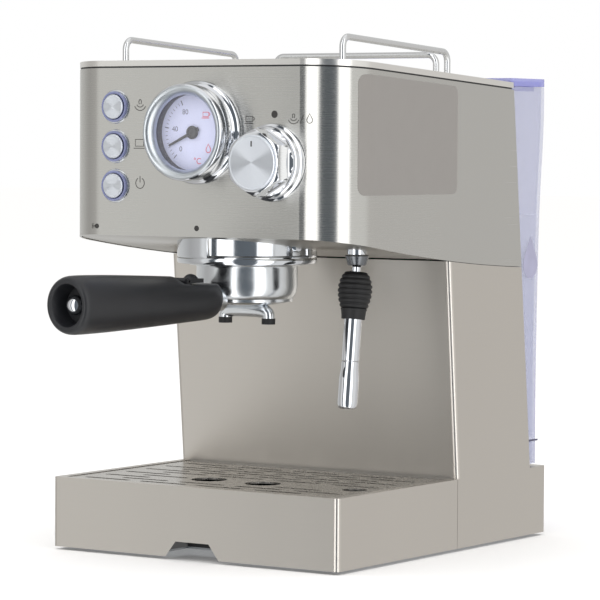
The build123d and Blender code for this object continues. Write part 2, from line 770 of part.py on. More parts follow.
def make_portafilter_body():
    bowl = up_rod(BOWL_R, BOWL_BOTTOM, COLLAR_BOTTOM + 2)
    bowl = fillet(bowl.edges().group_by(Axis.Z)[0], 9.0)
    neck = rod(along(BOWL_R - 6), along(HANDLE_START + 4), NECK_THICK)
    neck += rod(along(HANDLE_START + 4), along(SPIGOT_END), SPIGOT_R)
    body = bowl + neck + up_rod(LEDGE_R - SLIDE_GAP, COLLAR_BOTTOM - 1, RIM_TOP)
    for angle in lug_angles():
        body += sector(LUG_R, LEDGE_R - 4, *LUG_Z, angle, LUG_HALF)
    body -= up_rod(BASKET_R + SLIDE_GAP, BOWL_BOTTOM + 3, RIM_TOP + 1)
    return body - up_rod(3.0, 140, 170)


def make_filter_basket():
    floor = BOWL_BOTTOM + 7.0
    basket = up_rod(BASKET_R, floor, RIM_TOP)
    basket = fillet(basket.edges().group_by(Axis.Z)[0], 3.0)
    inner = up_rod(BASKET_R - 0.8, floor + 0.8, RIM_TOP + 2)
    inner = fillet(inner.edges().group_by(Axis.Z)[0], 2.4)
    rim = up_rod(LEDGE_R - 2.0, RIM_TOP, RIM_TOP + 0.8)
    return basket + rim - inner


FLAT_END = 78.0  # the flat on top of the handle runs this far out
FLAT_Z = HANDLE_Z + 9.0
SCREW_SEAT = 12.0  # depth of the hollow in the handle's end


def make_portafilter_handle():
    length = HANDLE_END - HANDLE_START
    outline = [
        (SPIGOT_R + FIT, 0),
        (10.5, 0),
        (12.6, 3.0),
        (13.4, 20.0),
        (15.6, 64.0),
        (HANDLE_R, 104.0),
        (HANDLE_R, length - 4.0),
        (HANDLE_R - 1.2, length - 1.2),
        (HANDLE_R - 3.2, length),
        (11.0, length),
        (10.0, length - SCREW_SEAT),
        (3.0, length - SCREW_SEAT),
        (3.0, 70.0),
        (SPIGOT_R + FIT, 70.0),
    ]
    handle = lathe(outline, handle_plane(HANDLE_START))
    handle -= rod(along(0), along(HANDLE_START + 4 + FIT), NECK_THICK + FIT)
    flat = Plane(origin=along(0, z=FLAT_Z), x_dir=HANDLE_SIDE, z_dir=(0, 0, 1))
    low = (Align.CENTER, Align.MAX, Align.MIN)
    handle -= flat * Box(60, FLAT_END, 30, align=low)
    return handle + hinge_ears() - clip_pin(FIT)


def make_handle_screw():
    seat = HANDLE_END - SCREW_SEAT
    shank = rod(along(SPIGOT_END), along(seat), 3.0 - FIT)
    head = Pos(*along(seat + 3.0)) * Sphere(6.0)
    cut = rod(along(seat - 20), along(seat), 12.0)
    return shank + (head - cut)


CLIP_PIVOT = 62.0
CLIP_Z = FLAT_Z + 2.3
CLIP_HALF = 6.0


def make_basket_clip():
    side = HANDLE_SIDE * CLIP_HALF
    axis_point = Vector(*along(CLIP_PIVOT, z=CLIP_Z))
    knuckle = rod(tuple(axis_point - side), tuple(axis_point + side), 2.0)
    tab = Plane(origin=along(CLIP_PIVOT, z=CLIP_Z), x_dir=HANDLE_SIDE, z_dir=HANDLE_DIR)
    low = (Align.CENTER, Align.CENTER, Align.MAX)
    plate = tab * Pos(0, 0, 0) * Box(2 * CLIP_HALF, 2.6, 15.0, align=low)
    dome = Pos(*along(CLIP_PIVOT - 10, z=CLIP_Z - 1.0)) * Sphere(5.0)
    dome -= block(-100, 100, -100, 100, 100, CLIP_Z - 1.0)
    return knuckle + plate + dome - clip_pin(FIT)


def clip_pin(grow):
    side = HANDLE_SIDE * (CLIP_HALF + 2.0)
    axis_point = Vector(*along(CLIP_PIVOT, z=CLIP_Z))
    return rod(tuple(axis_point - side), tuple(axis_point + side), 0.8 + grow)


def hinge_ears():
    """The two ears on the flat of the handle that hold the clip's pin."""
    ears = []
    for side in (-1, 1):
        foot = along(CLIP_PIVOT, side * (CLIP_HALF + SLIDE_GAP + 0.9), FLAT_Z - 1.0)
        plane = Plane(origin=foot, x_dir=HANDLE_SIDE, z_dir=(0, 0, 1))
        low = (Align.CENTER, Align.CENTER, Align.MIN)
        ears.append(plane * Box(1.6, 4.0, CLIP_Z - FLAT_Z + 2.8, align=low))
    return ears


SPOUT_TOP = BOWL_BOTTOM
TIP_Z = (141.0, 144.6)


def make_spout():
    hub = up_rod(7.0, SPOUT_TOP - 5.0, SPOUT_TOP) + up_rod(2.9, SPOUT_TOP, SPOUT_TOP + 3.0)
    low = TIP_Z[1] - 3.0
    z = SPOUT_TOP - 3.4
    for side in (-1, 1):
        x = side * SPOUT_X
        points = [(0, GROUP_Y, z), (x, GROUP_Y, z), (x, GROUP_Y, low)]
        hub += wire(points, 3.4, 3.9)
    for side in (-1, 1):
        x = side * SPOUT_X
        hub -= rod((x, GROUP_Y, low - 1), (x, GROUP_Y, low + 4.5), 2.2)
    return hub - up_rod(2.0, SPOUT_TOP - 4, SPOUT_TOP + 4)


def make_spout_tips():
    tips = []
    for side in (-1, 1):
        x = side * SPOUT_X
        tip = pipe((x, GROUP_Y, TIP_Z[0]), (x, GROUP_Y, TIP_Z[1]), 4.2, 3.4)
        tip += pipe((x, GROUP_Y, TIP_Z[0]), (x, GROUP_Y, TIP_Z[1] - 3.0), 4.2, 2.2)
        tips.append(tip)
    return tips


# ---------------------------------------------------------------- steam wand
def down_wand(distance):
    return tuple(WAND_BALL + WAND_DIR * distance)


def wand_plane(distance=0.0):
    return Plane(origin=down_wand(distance), x_dir=(1, 0, 0), z_dir=WAND_DIR)


NUT_BOTTOM = WAND_Z - 2.6
NUT_TOP = WAND_Z + 3.8
GRIP_TOP = 6.5
GRIP_END = 35.0
SLEEVE_START = 60.0


SOCKET_SEAT = under_z(WAND_Y - WAND_NUT_R - 2) + 2.0  # on the floor sheet's highest point
SOCKET_TOP = SOCKET_SEAT + 8.0


def make_wand_socket():
    upper = rod((WAND_X, WAND_Y, NUT_TOP + SLIDE_GAP), (WAND_X, WAND_Y, SOCKET_TOP), WAND_NUT_R - 2)
    upper -= Pos(*WAND_BALL) * Sphere(BALL_R + SLIDE_GAP)
    nut = pipe((WAND_X, WAND_Y, SOCKET_SEAT), (WAND_X, WAND_Y, SOCKET_SEAT + 5), 10.0, WAND_NUT_R - 2)
    return upper + nut


def make_wand_nut():
    nut = rod((WAND_X, WAND_Y, NUT_BOTTOM), (WAND_X, WAND_Y, NUT_TOP), WAND_NUT_R)
    nut = chamfer(nut.edges().group_by(Axis.Z)[0], 1.0)
    cavity = Pos(*WAND_BALL) * Sphere(BALL_R + FIT)
    mouth = Pos(WAND_X, WAND_Y, NUT_BOTTOM + 1.2) * Cone(6.4, 3.4, 2.6)
    return nut - cavity - mouth


def make_wand_pipe():
    ball = Pos(*WAND_BALL) * Sphere(BALL_R)
    neck = rod(down_wand(0), down_wand(GRIP_END - 1), 2.6)
    tube = rod(down_wand(GRIP_END - 1), down_wand(SLEEVE_START), PIPE_R)
    tip = rod(down_wand(SLEEVE_START), down_wand(SLEEVE_START + 20), 3.5)
    bore = rod(down_wand(12), down_wand(SLEEVE_START + 21), 1.2)
    return ball + neck + tube + tip - bore


def make_wand_grip():
    outline = [
        (2.6 + FIT, GRIP_TOP),
        (3.4, GRIP_TOP),
        (6.0, GRIP_TOP + 2.0),
        (9.3, GRIP_TOP + 7.5),
        (10.5, GRIP_TOP + 13.5),
        (10.0, GRIP_TOP + 19.5),
        (8.4, GRIP_TOP + 24.5),
        (7.4, GRIP_TOP + 27.5),
        (7.2, GRIP_END),
        (PIPE_R + FIT, GRIP_END),
        (PIPE_R + FIT, GRIP_END - 1 - FIT),
        (2.6 + FIT, GRIP_END - 1 - FIT),
    ]
    return lathe(outline, wand_plane())


def make_froth_sleeve():
    top, end = SLEEVE_START + SLIDE_GAP, WAND_TIP_REACH
    outline = [
        (3.5 + FIT, top),
        (PIPE_R, top),
        (6.0, top + 9.0),
        (6.1, end - 3.0),
        (5.6, end - 0.9),
        (4.2, end),
        (1.4, end),
        (1.4, SLEEVE_START + 22.0),
        (3.5 + FIT, SLEEVE_START + 22.0),
    ]
    return lathe(outline, wand_plane())


# ---------------------------------------------------------------- water tank
TANK_GAP = 1.6  # between the tank and the back panel
# How far the rear wall stands out, from its foot (0) to its top (1), by share of the height.
TANK_BULGE = ((0.89, 0.95), (0.73, 0.51), (0.51, 0.16), (0.26, 0.0))
VALVE_STEM_R = 1.5


def tank_back_curve(inset):
    points = [(TANK_BACK - inset, TANK_TOP + 20)]
    for share, out in TANK_BULGE:
        y = TANK_FOOT_BACK + out * (TANK_BACK - TANK_FOOT_BACK)
        points.append((y - inset, TANK_BOTTOM + share * (TANK_TOP - TANK_BOTTOM)))
    points.append((TANK_FOOT_BACK - inset, TANK_BOTTOM / 2))
    return Spline(*points, tangents=[(0, -1), (0, -1)])


def tank_solid(inset, z0, z1):
    curve = tank_back_curve(inset)
    top, low = curve @ 0, curve @ 1
    front = [(rear_y(z) + TANK_GAP + inset, z) for z in (low.Y, top.Y)]
    rest = Polyline(low, front[0], front[1], top)
    x = TANK_X - inset
    solid = Pos(-x, 0, 0) * extrude(Plane.YZ * make_face([curve, rest]), amount=2 * x)
    edges = solid.edges().filter_by(lambda e: abs(abs(e.center().X) - x) < 0.1)
    tall = (TANK_TOP - TANK_BOTTOM) * 0.8
    edges = edges.filter_by(lambda e: e.length > tall).sort_by(Axis.Y)[2:4]
    solid = fillet(edges, TANK_CORNER_R - inset)
    return solid & block(-150, 150, 150, 280, z0, z1)


def make_tank_body():
    body = tank_solid(0, TANK_BOTTOM, TANK_TOP)
    body -= tank_solid(TANK_WALL, TANK_FLOOR + TANK_WALL, TANK_TOP + 5)
    body -= tank_solid(TANK_WALL, TANK_BOTTOM - 5, TANK_FLOOR)
    neck = rod((NECK_X, NECK_Y, TANK_FLOOR - 9), (NECK_X, NECK_Y, TANK_FLOOR), NECK_R)
    body += neck
    body -= rod((NECK_X, NECK_Y, TANK_FLOOR - 7), (NECK_X, NECK_Y, TANK_FLOOR + 9), NECK_BORE)
    stem = ((NECK_X, NECK_Y, TANK_FLOOR - 20), (NECK_X, NECK_Y, TANK_FLOOR + 9))
    return body - rod(*stem, VALVE_STEM_R + SLIDE_GAP)


def make_tank_valve():
    seat = TANK_FLOOR - 7
    head = rod((NECK_X, NECK_Y, seat), (NECK_X, NECK_Y, seat + 3.5), NECK_BORE - SLIDE_GAP)
    return head + rod((NECK_X, NECK_Y, seat - 5.0), (NECK_X, NECK_Y, seat), VALVE_STEM_R)


def make_tank_dock():
    y0 = rear_y(BASE_TOP) + TANK_GAP + TANK_WALL + SLIDE_GAP
    y1 = TANK_FOOT_BACK - TANK_WALL - SLIDE_GAP
    dock = block(-90, 90, y0, y1, BASE_TOP, BASE_TOP + 3)
    socket = rod((NECK_X, NECK_Y, BASE_TOP), (NECK_X, NECK_Y, DOCK_TOP), SOCKET_R)
    dock += socket & block(-90, 90, y0, y1, 0, 90)
    bore = rod((NECK_X, NECK_Y, BASE_TOP + 3), (NECK_X, NECK_Y, DOCK_TOP + 1), NECK_R + SLIDE_GAP)
    dock -= bore
    # Ribs on which the tank's floor stands.
    for x in (-80, -40, 40, 80):
        dock += block(x - 1, x + 1, y0, y1, BASE_TOP + 3, TANK_FLOOR)
    return dock + rod((NECK_X, NECK_Y, BASE_TOP + 3), (NECK_X, NECK_Y, BASE_TOP + 4.6), 1.2)


LID_Z = TANK_TOP + SEAM
LID_HINGE_CLEAR = 16.0  # the lid's inner lip stops this far short of its hinge line


def make_tank_lid():
    lid = tank_solid(0, LID_Z, LID_Z + LID_RISE)
    lid = lid - tank_solid(TANK_WALL, LID_Z - 1, LID_Z + LID_RISE - 1.8)
    lip = tank_solid(TANK_WALL + SEAM, LID_Z - 3, LID_Z + LID_RISE - 1.8)
    lip -= tank_solid(TANK_WALL * 2 + SEAM, LID_Z - 4, LID_Z + LID_RISE)
    lip -= block(-150, 150, TANK_BACK - LID_HINGE_CLEAR, 300, 0, LID_Z)
    return lid + lip


# ------------------------------------------------------------ pump, hoses, electrics
PUMP_X, PUMP_Y = -45.0, 178.0
PUMP_R = 18.0
PUMP_Z = (44.0, 98.0)
TONGUE_Z = (34.0, 106.0)
NOZZLE_Z = (22.0, 120.0)  # the pump's inlet and outlet ends
HOSE_Z = 14.0


def make_pump_bracket():
    x0, x1 = PUMP_X - 20, PUMP_X + 20
    wall = PUMP_Y + PUMP_R + 4
    bracket = block(x0, x1, PUMP_Y - 14, wall, PLATE_TOP, PLATE_TOP + SHEET)
    bracket += block(x0, x1, wall - SHEET, wall, PLATE_TOP, TONGUE_Z[1] + SHEET)
    for z in TONGUE_Z:
        tongue = block(PUMP_X - 12, PUMP_X + 12, PUMP_Y - 12, wall, z, z + SHEET)
        bracket += tongue - rod((PUMP_X, PUMP_Y, z - 5), (PUMP_X, PUMP_Y, z + 5), 9.0)
    # The suction hose passes through a notch at the foot of the wall.
    share = (NECK_Y - wall) / (NECK_Y - PUMP_Y)
    cross = NECK_X + (PUMP_X - NECK_X) * share
    reach = HOSE_R * 2.5
    notch_top = HOSE_Z + HOSE_R + 3.0
    return bracket - block(cross - reach, cross + reach, wall - 3, wall + 1, PLATE_TOP + SHEET, notch_top)


def make_pump_mounts():
    mounts = []
    for z in TONGUE_Z:
        middle = z + SHEET / 2
        mount = rod((PUMP_X, PUMP_Y, middle - 4), (PUMP_X, PUMP_Y, middle + 4), 11.0)
        groove = rod((PUMP_X, PUMP_Y, z), (PUMP_X, PUMP_Y, z + SHEET), 12.0)
        groove -= rod((PUMP_X, PUMP_Y, z), (PUMP_X, PUMP_Y, z + SHEET), 9.0)
        mounts.append(mount - groove - rod((PUMP_X, PUMP_Y, 0), (PUMP_X, PUMP_Y, 200), 7.0))
    return mounts


def make_pump():
    body = rod((PUMP_X, PUMP_Y, PUMP_Z[0]), (PUMP_X, PUMP_Y, PUMP_Z[1]), PUMP_R)
    neck = rod((PUMP_X, PUMP_Y, 28), (PUMP_X, PUMP_Y, 114), 7.0)
    nozzle = rod((PUMP_X, PUMP_Y, NOZZLE_Z[0]), (PUMP_X, PUMP_Y, NOZZLE_Z[1]), 3.0)
    return body + neck + nozzle


def make_suction_hose():
    low = (NECK_X, NECK_Y, HOSE_Z), (PUMP_X, PUMP_Y, HOSE_Z)
    return wire([(NECK_X, NECK_Y, BASE_TOP), *low, (PUMP_X, PUMP_Y, NOZZLE_Z[0])], HOSE_R, 5.0)


BOILER_PORT = BOILER_TOP - 12.0  # height of the boiler's inlet and outlet
VALVE_PORT = 18.0  # the valve's inlet and outlet end this far above and below it


def make_brew_pipe():
    """From the pump's outlet up the tower and forward into the boiler."""
    into = GROUP_Y + BOILER_R - 8
    points = [
        (PUMP_X, PUMP_Y, NOZZLE_Z[1]),
        (PUMP_X, PUMP_Y, BOILER_PORT),
        (0, into + 30, BOILER_PORT),
        (0, into, BOILER_PORT),
    ]
    return wire(points, 3.0, 12.0)


def make_steam_pipe():
    """From the valve's outlet down to the wand's socket."""
    start = (KNOB_X, VALVE_Y[1] - 8, KNOB_Z - VALVE_PORT)
    end = (WAND_X, WAND_Y, SOCKET_TOP)
    bend = (start[0], start[1], start[2] - 9), (end[0], end[1], end[2] + 12)
    return wire([start, *bend, end], 2.5, 5.0)


def make_boiler_pipe():
    """From the boiler's side into the top of the valve."""
    end = (KNOB_X, VALVE_Y[1] - 8, KNOB_Z + VALVE_PORT)
    crest = end[2] + 10
    points = [
        (BOILER_R - 8, GROUP_Y, BOILER_PORT),
        (BOILER_R + 2, GROUP_Y, BOILER_PORT),
        (BOILER_R + 2, GROUP_Y, crest),
        (end[0], end[1], crest),
        end,
    ]
    return wire(points, 2.5, 4.0)


BOARD_Z = (150.0, 230.0)


def make_control_board():
    """A board on four pillars that stand on the back panel."""
    gap = 8.0
    tilt = degrees(atan2(REAR_LEAN, 1))
    board = block(-35, 45, -gap - 1.6, -gap, -40, 40)
    relay = block(0, 20, -gap - 17, -gap - 1.6, -10, 15)
    parts = board + relay
    for x in (-30, 40):
        for z in (-35, 35):
            parts += rod((x, -gap, z), (x, 0, z), 2.5)
    middle = sum(BOARD_Z) / 2
    return Pos(0, rear_y(middle) - SHEET, middle) * Rot(tilt, 0, 0) * parts


def make_case_screws():
    screws = []
    for x in (-92, 92):
        for z in (70, 160, 270):
            y = rear_y(z)
            tilt = Plane(origin=(x, y, z), z_dir=(0, 1, REAR_LEAN))
            low = (Align.CENTER, Align.CENTER, Align.MIN)
            screws.append(tilt * Cylinder(3.0, 1.2, align=low))
    return screws


save("chassis_plate", make_chassis_plate())
save("rubber_feet", *make_feet())
save("base_shell", make_base_shell())
save("cord_gland", make_cord_gland())
save("tray_shell", make_tray_shell())
save("tray_basin", make_tray_basin())
save("drip_grid", make_drip_grid())
save("tower_shell", make_tower_shell())
save("back_panel", make_back_panel())
save("head_shell", make_head_shell())
save("head_floor", make_head_floor())
save("top_cover", make_top_cover())
save("top_seam", make_top_seam())
save("cup_rails", make_side_rail(-1), make_side_rail(1), make_rear_rail())
save("side_label", make_side_label())
for button_name, button_z in zip(BUTTON_NAMES, BUTTON_Z):
    save(button_name, make_button(button_z))
save("button_rings", *make_button_rings())
save("switch_block", make_switch_block())
save("gauge_bezel", make_gauge_bezel())
save("gauge_lens", make_gauge_lens())
save("gauge_dial", make_gauge_dial())
save("gauge_case", make_gauge_case())
save("gauge_needle", make_gauge_needle())
save("knob_ring", make_knob_ring())
save("selector_knob", make_selector_knob())
save("knob_cap", make_knob_cap())
save("valve_spindle", make_spindle())
save("steam_valve", make_steam_valve())
save("group_collar", make_group_collar())
save("group_head", make_group_head())
save("group_gasket", make_group_gasket())
save("shower_screen", make_shower_screen())
save("boiler_lower", make_boiler_lower())
save("boiler_upper", make_boiler_upper())
save("thermostat", make_thermostat())
save("portafilter_body", make_portafilter_body())
save("filter_basket", make_filter_basket())
save("portafilter_handle", make_portafilter_handle())
save("handle_fittings", make_handle_screw(), clip_pin(0))
save("basket_clip", make_basket_clip())
save("spout", make_spout())
save("spout_tips", *make_spout_tips())
save("wand_socket", make_wand_socket())
save("wand_nut", make_wand_nut())
save("wand_pipe", make_wand_pipe())
save("wand_grip", make_wand_grip())
save("froth_sleeve", make_froth_sleeve())
save("tank_body", make_tank_body())
save("tank_valve", make_tank_valve())
save("tank_dock", make_tank_dock())
save("tank_lid", make_tank_lid())
save("pump_bracket", make_pump_bracket())
save("pump_mounts", *make_pump_mounts())
save("pump", make_pump())
save("water_hoses", make_suction_hose(), make_brew_pipe())
save("steam_pipes", make_steam_pipe(), make_boiler_pipe())
save("control_board", make_control_board())
save("machine_screws", *make_case_screws(), *make_boiler_bolts(), make_screen_screw())
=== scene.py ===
# %% [markdown]
# # A pump espresso machine, piece by piece
# The construction comes from CAD: every shell, pin and joint is already in place. This
# lesson gives each piece its finish, and remakes the pieces whose charm is in small
# things: the gauge's face, the flats of a knob, the ribs of a rubber grip.

# %% Load the construction
import bpy
import bmesh
import json
import math
from mathutils import Matrix, Vector


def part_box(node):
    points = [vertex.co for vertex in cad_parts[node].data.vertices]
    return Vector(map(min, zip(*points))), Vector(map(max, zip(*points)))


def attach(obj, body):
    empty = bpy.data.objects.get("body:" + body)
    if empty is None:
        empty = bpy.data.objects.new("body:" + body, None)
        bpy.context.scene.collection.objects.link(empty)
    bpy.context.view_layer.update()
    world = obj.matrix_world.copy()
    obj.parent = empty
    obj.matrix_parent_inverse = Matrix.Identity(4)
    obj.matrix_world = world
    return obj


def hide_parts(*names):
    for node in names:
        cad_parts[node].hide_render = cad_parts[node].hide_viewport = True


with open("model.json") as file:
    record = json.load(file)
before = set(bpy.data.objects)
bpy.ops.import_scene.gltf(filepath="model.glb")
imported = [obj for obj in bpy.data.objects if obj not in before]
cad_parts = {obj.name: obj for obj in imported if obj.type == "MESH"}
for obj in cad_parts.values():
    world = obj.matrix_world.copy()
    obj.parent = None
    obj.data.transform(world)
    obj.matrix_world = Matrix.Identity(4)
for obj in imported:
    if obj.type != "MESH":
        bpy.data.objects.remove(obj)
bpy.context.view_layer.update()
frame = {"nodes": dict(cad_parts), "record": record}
nodes = frame["nodes"]

# %% [markdown]
# ## One set of places
# The real machine is drawn from the front edge of its base. All sizes below are in
# millimetres from there: x to the right, y to the back, z up. One function turns such a
# place into the frame's own metres.

# %% Places
MM = 0.001
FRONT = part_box("tray_shell")[0].y


def at(x, y, z):
    return Vector((x * MM, FRONT + y * MM, z * MM))


# %% [markdown]
# ## The camera
# A long lens from about two metres, as high as the middle button, turned a little over a
# third of a right angle to the right. The long lens keeps the upright edges parallel.

# %% Camera
CAMERA_PLACE = (1116.0, -1561.0, 252.0)
CAMERA_TURN, CAMERA_DROP, CAMERA_ROLL = 33.64, 2.81, 0.34
LENS = 192.7


def camera_axes(turn, drop, roll):
    a, e, r = (math.radians(v) for v in (turn, drop, roll))
    back = Vector((math.sin(a) * math.cos(e), -math.cos(a) * math.cos(e), math.sin(e)))
    right = Vector((math.cos(a), math.sin(a), 0))
    up = back.cross(right)
    side = math.cos(r) * right + math.sin(r) * up
    return side, back.cross(side), back


camera = bpy.data.objects.new("camera", bpy.data.cameras.new("camera"))
bpy.context.scene.collection.objects.link(camera)
columns = camera_axes(CAMERA_TURN, CAMERA_DROP, CAMERA_ROLL)
camera.matrix_world = Matrix.Translation(at(*CAMERA_PLACE)) @ Matrix(columns).transposed().to_4x4()
camera.data.lens = LENS
camera.data.sensor_width = 36
camera.data.clip_end = 50
bpy.context.scene.camera = camera
print("camera at", [round(v, 3) for v in camera.location])

# %% [markdown]
# ## Colours and shader helpers
# Colours are picked the way a screen shows them, so one function turns a hex value into
# the linear numbers that light works with. A second small function adds any node, with
# its settings and links, so that a material reads as a short recipe.


# %% Helpers for materials
def colour(hex_value):
    parts = [int(hex_value[i : i + 2], 16) / 255 for i in (1, 3, 5)]
    linear = [c / 12.92 if c <= 0.04045 else ((c + 0.055) / 1.055) ** 2.4 for c in parts]
    return (*linear, 1.0)


def add(tree, kind, inputs=None, **settings):
    """Adds one node; an input may be a value or another node's output socket."""
    node = tree.nodes.new(kind)
    for key, value in settings.items():
        setattr(node, key, value)
    for key, value in (inputs or {}).items():
        if isinstance(value, bpy.types.NodeSocket):
            tree.links.new(value, node.inputs[key])
        else:
            node.inputs[key].default_value = value
    return node


def finish(name, base, roughness, metallic=0.0, **more):
    """A material with one Principled shader; returns the material, its tree and shader."""
    material = bpy.data.materials.new(name)
    material.use_nodes = True
    tree = material.node_tree
    shader = tree.nodes["Principled BSDF"]
    shader.inputs["Base Color"].default_value = colour(base)
    shader.inputs["Roughness"].default_value = roughness
    shader.inputs["Metallic"].default_value = metallic
    for key, value in more.items():
        shader.inputs[key.replace("_", " ")].default_value = value
    return material, tree, shader


def grain(tree, scale, detail=3.0):
    """Noise drawn out along the directions whose scale is small; scales are per metre."""
    place = add(tree, "ShaderNodeTexCoord").outputs["Object"]
    stretch = add(tree, "ShaderNodeMapping", {"Vector": place, "Scale": scale})
    return add(tree, "ShaderNodeTexNoise", {"Vector": stretch.outputs[0], "Scale": 1.0, "Detail": detail})


def ramp(tree, factor, stops, mode="LINEAR"):
    node = add(tree, "ShaderNodeValToRGB", {"Fac": factor})
    node.color_ramp.interpolation = mode
    while len(node.color_ramp.elements) < len(stops):
        node.color_ramp.elements.new(0.5)
    for element, (place, value) in zip(node.color_ramp.elements, stops):
        element.position = place
        element.color = value if isinstance(value, tuple) else (value, value, value, 1)
    return node


def spread(tree, factor, low, high):
    """Maps a 0 to 1 factor to the range low to high."""
    node = add(tree, "ShaderNodeMapRange", {"Value": factor, "To Min": low, "To Max": high})
    return node.outputs["Result"]


def bump(tree, shader, height, strength, distance):
    node = add(tree, "ShaderNodeBump", {"Height": height, "Strength": strength, "Distance": distance})
    tree.links.new(node.outputs["Normal"], shader.inputs["Normal"])


# %% [markdown]
# ## The studio
# White paper lies under and behind the machine, with two large soft lamps over it.
# Polished and brushed metal show nothing but what stands round them, so a tall ring of
# paper and grey flags stands round the table. It draws the white and dark bands on every
# rounded corner. Only reflections can see the ring.

# %% Paper floor and soft light
world = bpy.data.worlds.new("studio")
bpy.context.scene.world = world
world.use_nodes = True
sky = world.node_tree
sky.nodes.clear()
air = add(sky, "ShaderNodeBackground", {"Color": (1, 1, 1, 1), "Strength": 1.0})
add(sky, "ShaderNodeOutputWorld", {"Surface": air.outputs[0]})

FLOOR = 12.0
floor_mesh = bpy.data.meshes.new("studio_floor")
corners = [(x * FLOOR, y * FLOOR, 0) for x, y in ((-1, -1), (1, -1), (1, 1), (-1, 1))]
floor_mesh.from_pydata(corners, [], [(0, 1, 2, 3)])
floor = bpy.data.objects.new("studio_floor", floor_mesh)
bpy.context.scene.collection.objects.link(floor)
paper, _, _ = finish("matt_studio_paper", "#f4f3f2", 1.0, Specular_IOR_Level=0.0)
paper.node_tree.nodes["Principled BSDF"].inputs["Emission Color"].default_value = (1, 1, 1, 1)
paper.node_tree.nodes["Principled BSDF"].inputs["Emission Strength"].default_value = 0.1
floor_mesh.materials.append(paper)
floor.visible_glossy = False


def lamp(name, place, aim, size, power):
    light = bpy.data.lights.new(name, "AREA")
    light.size, light.energy = size, power
    obj = bpy.data.objects.new(name, light)
    bpy.context.scene.collection.objects.link(obj)
    obj.location = place
    obj.rotation_euler = (Vector(aim) - Vector(place)).to_track_quat("-Z", "Y").to_euler()
    obj.visible_glossy = False
    obj.visible_camera = False
    return obj


lamp("soft_lamp_top", (0.2, -0.3, 1.9), (0, 0, 0.1), 2.2, 12)
lamp("soft_lamp_left", (-1.6, -1.2, 1.1), (0, 0, 0.2), 1.0, 6)
print("studio floor and", len(bpy.data.lights), "lamps")

# %% [markdown]
# The ring's brightness is a list of turns and levels, in degrees from straight ahead
# towards the right. A corner bent through a right angle sweeps over twice that angle of
# the ring, which is why one strip of dark cloth turns into one dark band up the corner.

# %% The ring of paper and flags
RING_R, RING_REACH, RING_STEPS = 4.0, 7.0, 128
WHITE, GREY, WARM, SLATE = (1, 1, 1), (1, 1, 0.985), (1, 0.985, 0.965), (0.80, 0.90, 1.0)
RING_BANDS = [  # (turn, level, tint)
    (-180, 0.70, GREY),
    (-150, 0.72, GREY),
    (-98, 0.66, GREY),
    (-72, 0.50, WARM),
    (-50, 0.60, WARM),
    (-43, 0.95, GREY),
    (-38, 0.90, GREY),
    (-33, 0.86, GREY),
    (-31, 0.62, GREY),
    (-29, 0.14, SLATE),
    (-20, 0.10, SLATE),
    (-17, 2.3, WHITE),
    (9, 2.1, WHITE),
    (13, 0.17, SLATE),
    (50, 0.20, SLATE),
    (53, 2.2, WHITE),
    (77, 2.2, WHITE),
    (80, 0.55, GREY),
    (84, 0.90, GREY),
    (118, 0.88, GREY),
    (128, 0.72, WARM),
    (150, 0.70, WARM),
    (180, 0.70, GREY),
]
ring_points, ring_faces = [], []
for i in range(RING_STEPS):
    turn = 2 * math.pi * i / RING_STEPS
    for z in (-RING_REACH, RING_REACH):
        ring_points.append((RING_R * math.cos(turn), RING_R * math.sin(turn), z))
    j = (i + 1) % RING_STEPS
    ring_faces.append((2 * i, 2 * i + 1, 2 * j + 1, 2 * j))
ring_mesh = bpy.data.meshes.new("studio_ring")
ring_mesh.from_pydata(ring_points, [], ring_faces)
ring = bpy.data.objects.new("studio_ring", ring_mesh)
bpy.context.scene.collection.objects.link(ring)
ring_look = bpy.data.materials.new("paper_and_grey_flags")
ring_look.use_nodes = True
tree = ring_look.node_tree
tree.nodes.clear()
split = add(tree, "ShaderNodeSeparateXYZ", {0: add(tree, "ShaderNodeTexCoord").outputs["Object"]})
ahead = add(tree, "ShaderNodeMath", {0: split.outputs["Y"], 1: -1.0}, operation="MULTIPLY")
angle = add(tree, "ShaderNodeMath", {0: split.outputs["X"], 1: ahead.outputs[0]}, operation="ARCTAN2")
whole_turn = {"Value": angle.outputs[0], "From Min": -math.pi, "From Max": math.pi}
share = add(tree, "ShaderNodeMapRange", whole_turn)
BRIGHTEST = max(level for _, level, _ in RING_BANDS)
stops = []
for turn, level, tint in RING_BANDS:
    stops.append(((turn + 180) / 360, (*(level * c / BRIGHTEST for c in tint), 1.0)))
bands = ramp(tree, share.outputs["Result"], stops)
glow = add(tree, "ShaderNodeEmission", {"Color": bands.outputs["Color"], "Strength": BRIGHTEST})
add(tree, "ShaderNodeOutputMaterial", {"Surface": glow.outputs[0]})
ring_mesh.materials.append(ring_look)
for reach in ("visible_camera", "visible_diffuse", "visible_shadow", "visible_transmission"):
    setattr(ring, reach, False)
print("studio ring with", len(RING_BANDS), "bands")

# %% [markdown]
# ## Sheet steel
# The body is austenitic stainless sheet, brushed along its length with a fine belt. The
# scratches are a few hundredths of a millimetre wide, so they are drawn coarser here.
# They blur a reflection up and down, and leave it nearly sharp from side to side. The
# sheet is also never quite flat, and its slow waves bend the reflections a little.


# %% Brushed stainless steel
SCRATCH_MM = 0.3  # height of one drawn scratch; the real ones are a tenth of that
WAVE_MM = 70.0  # length of the slow waves in the sheet


def tuned(base, factor):
    """A colour made darker or lighter by a factor."""
    return (*(c * factor for c in colour(base)[:3]), 1.0)


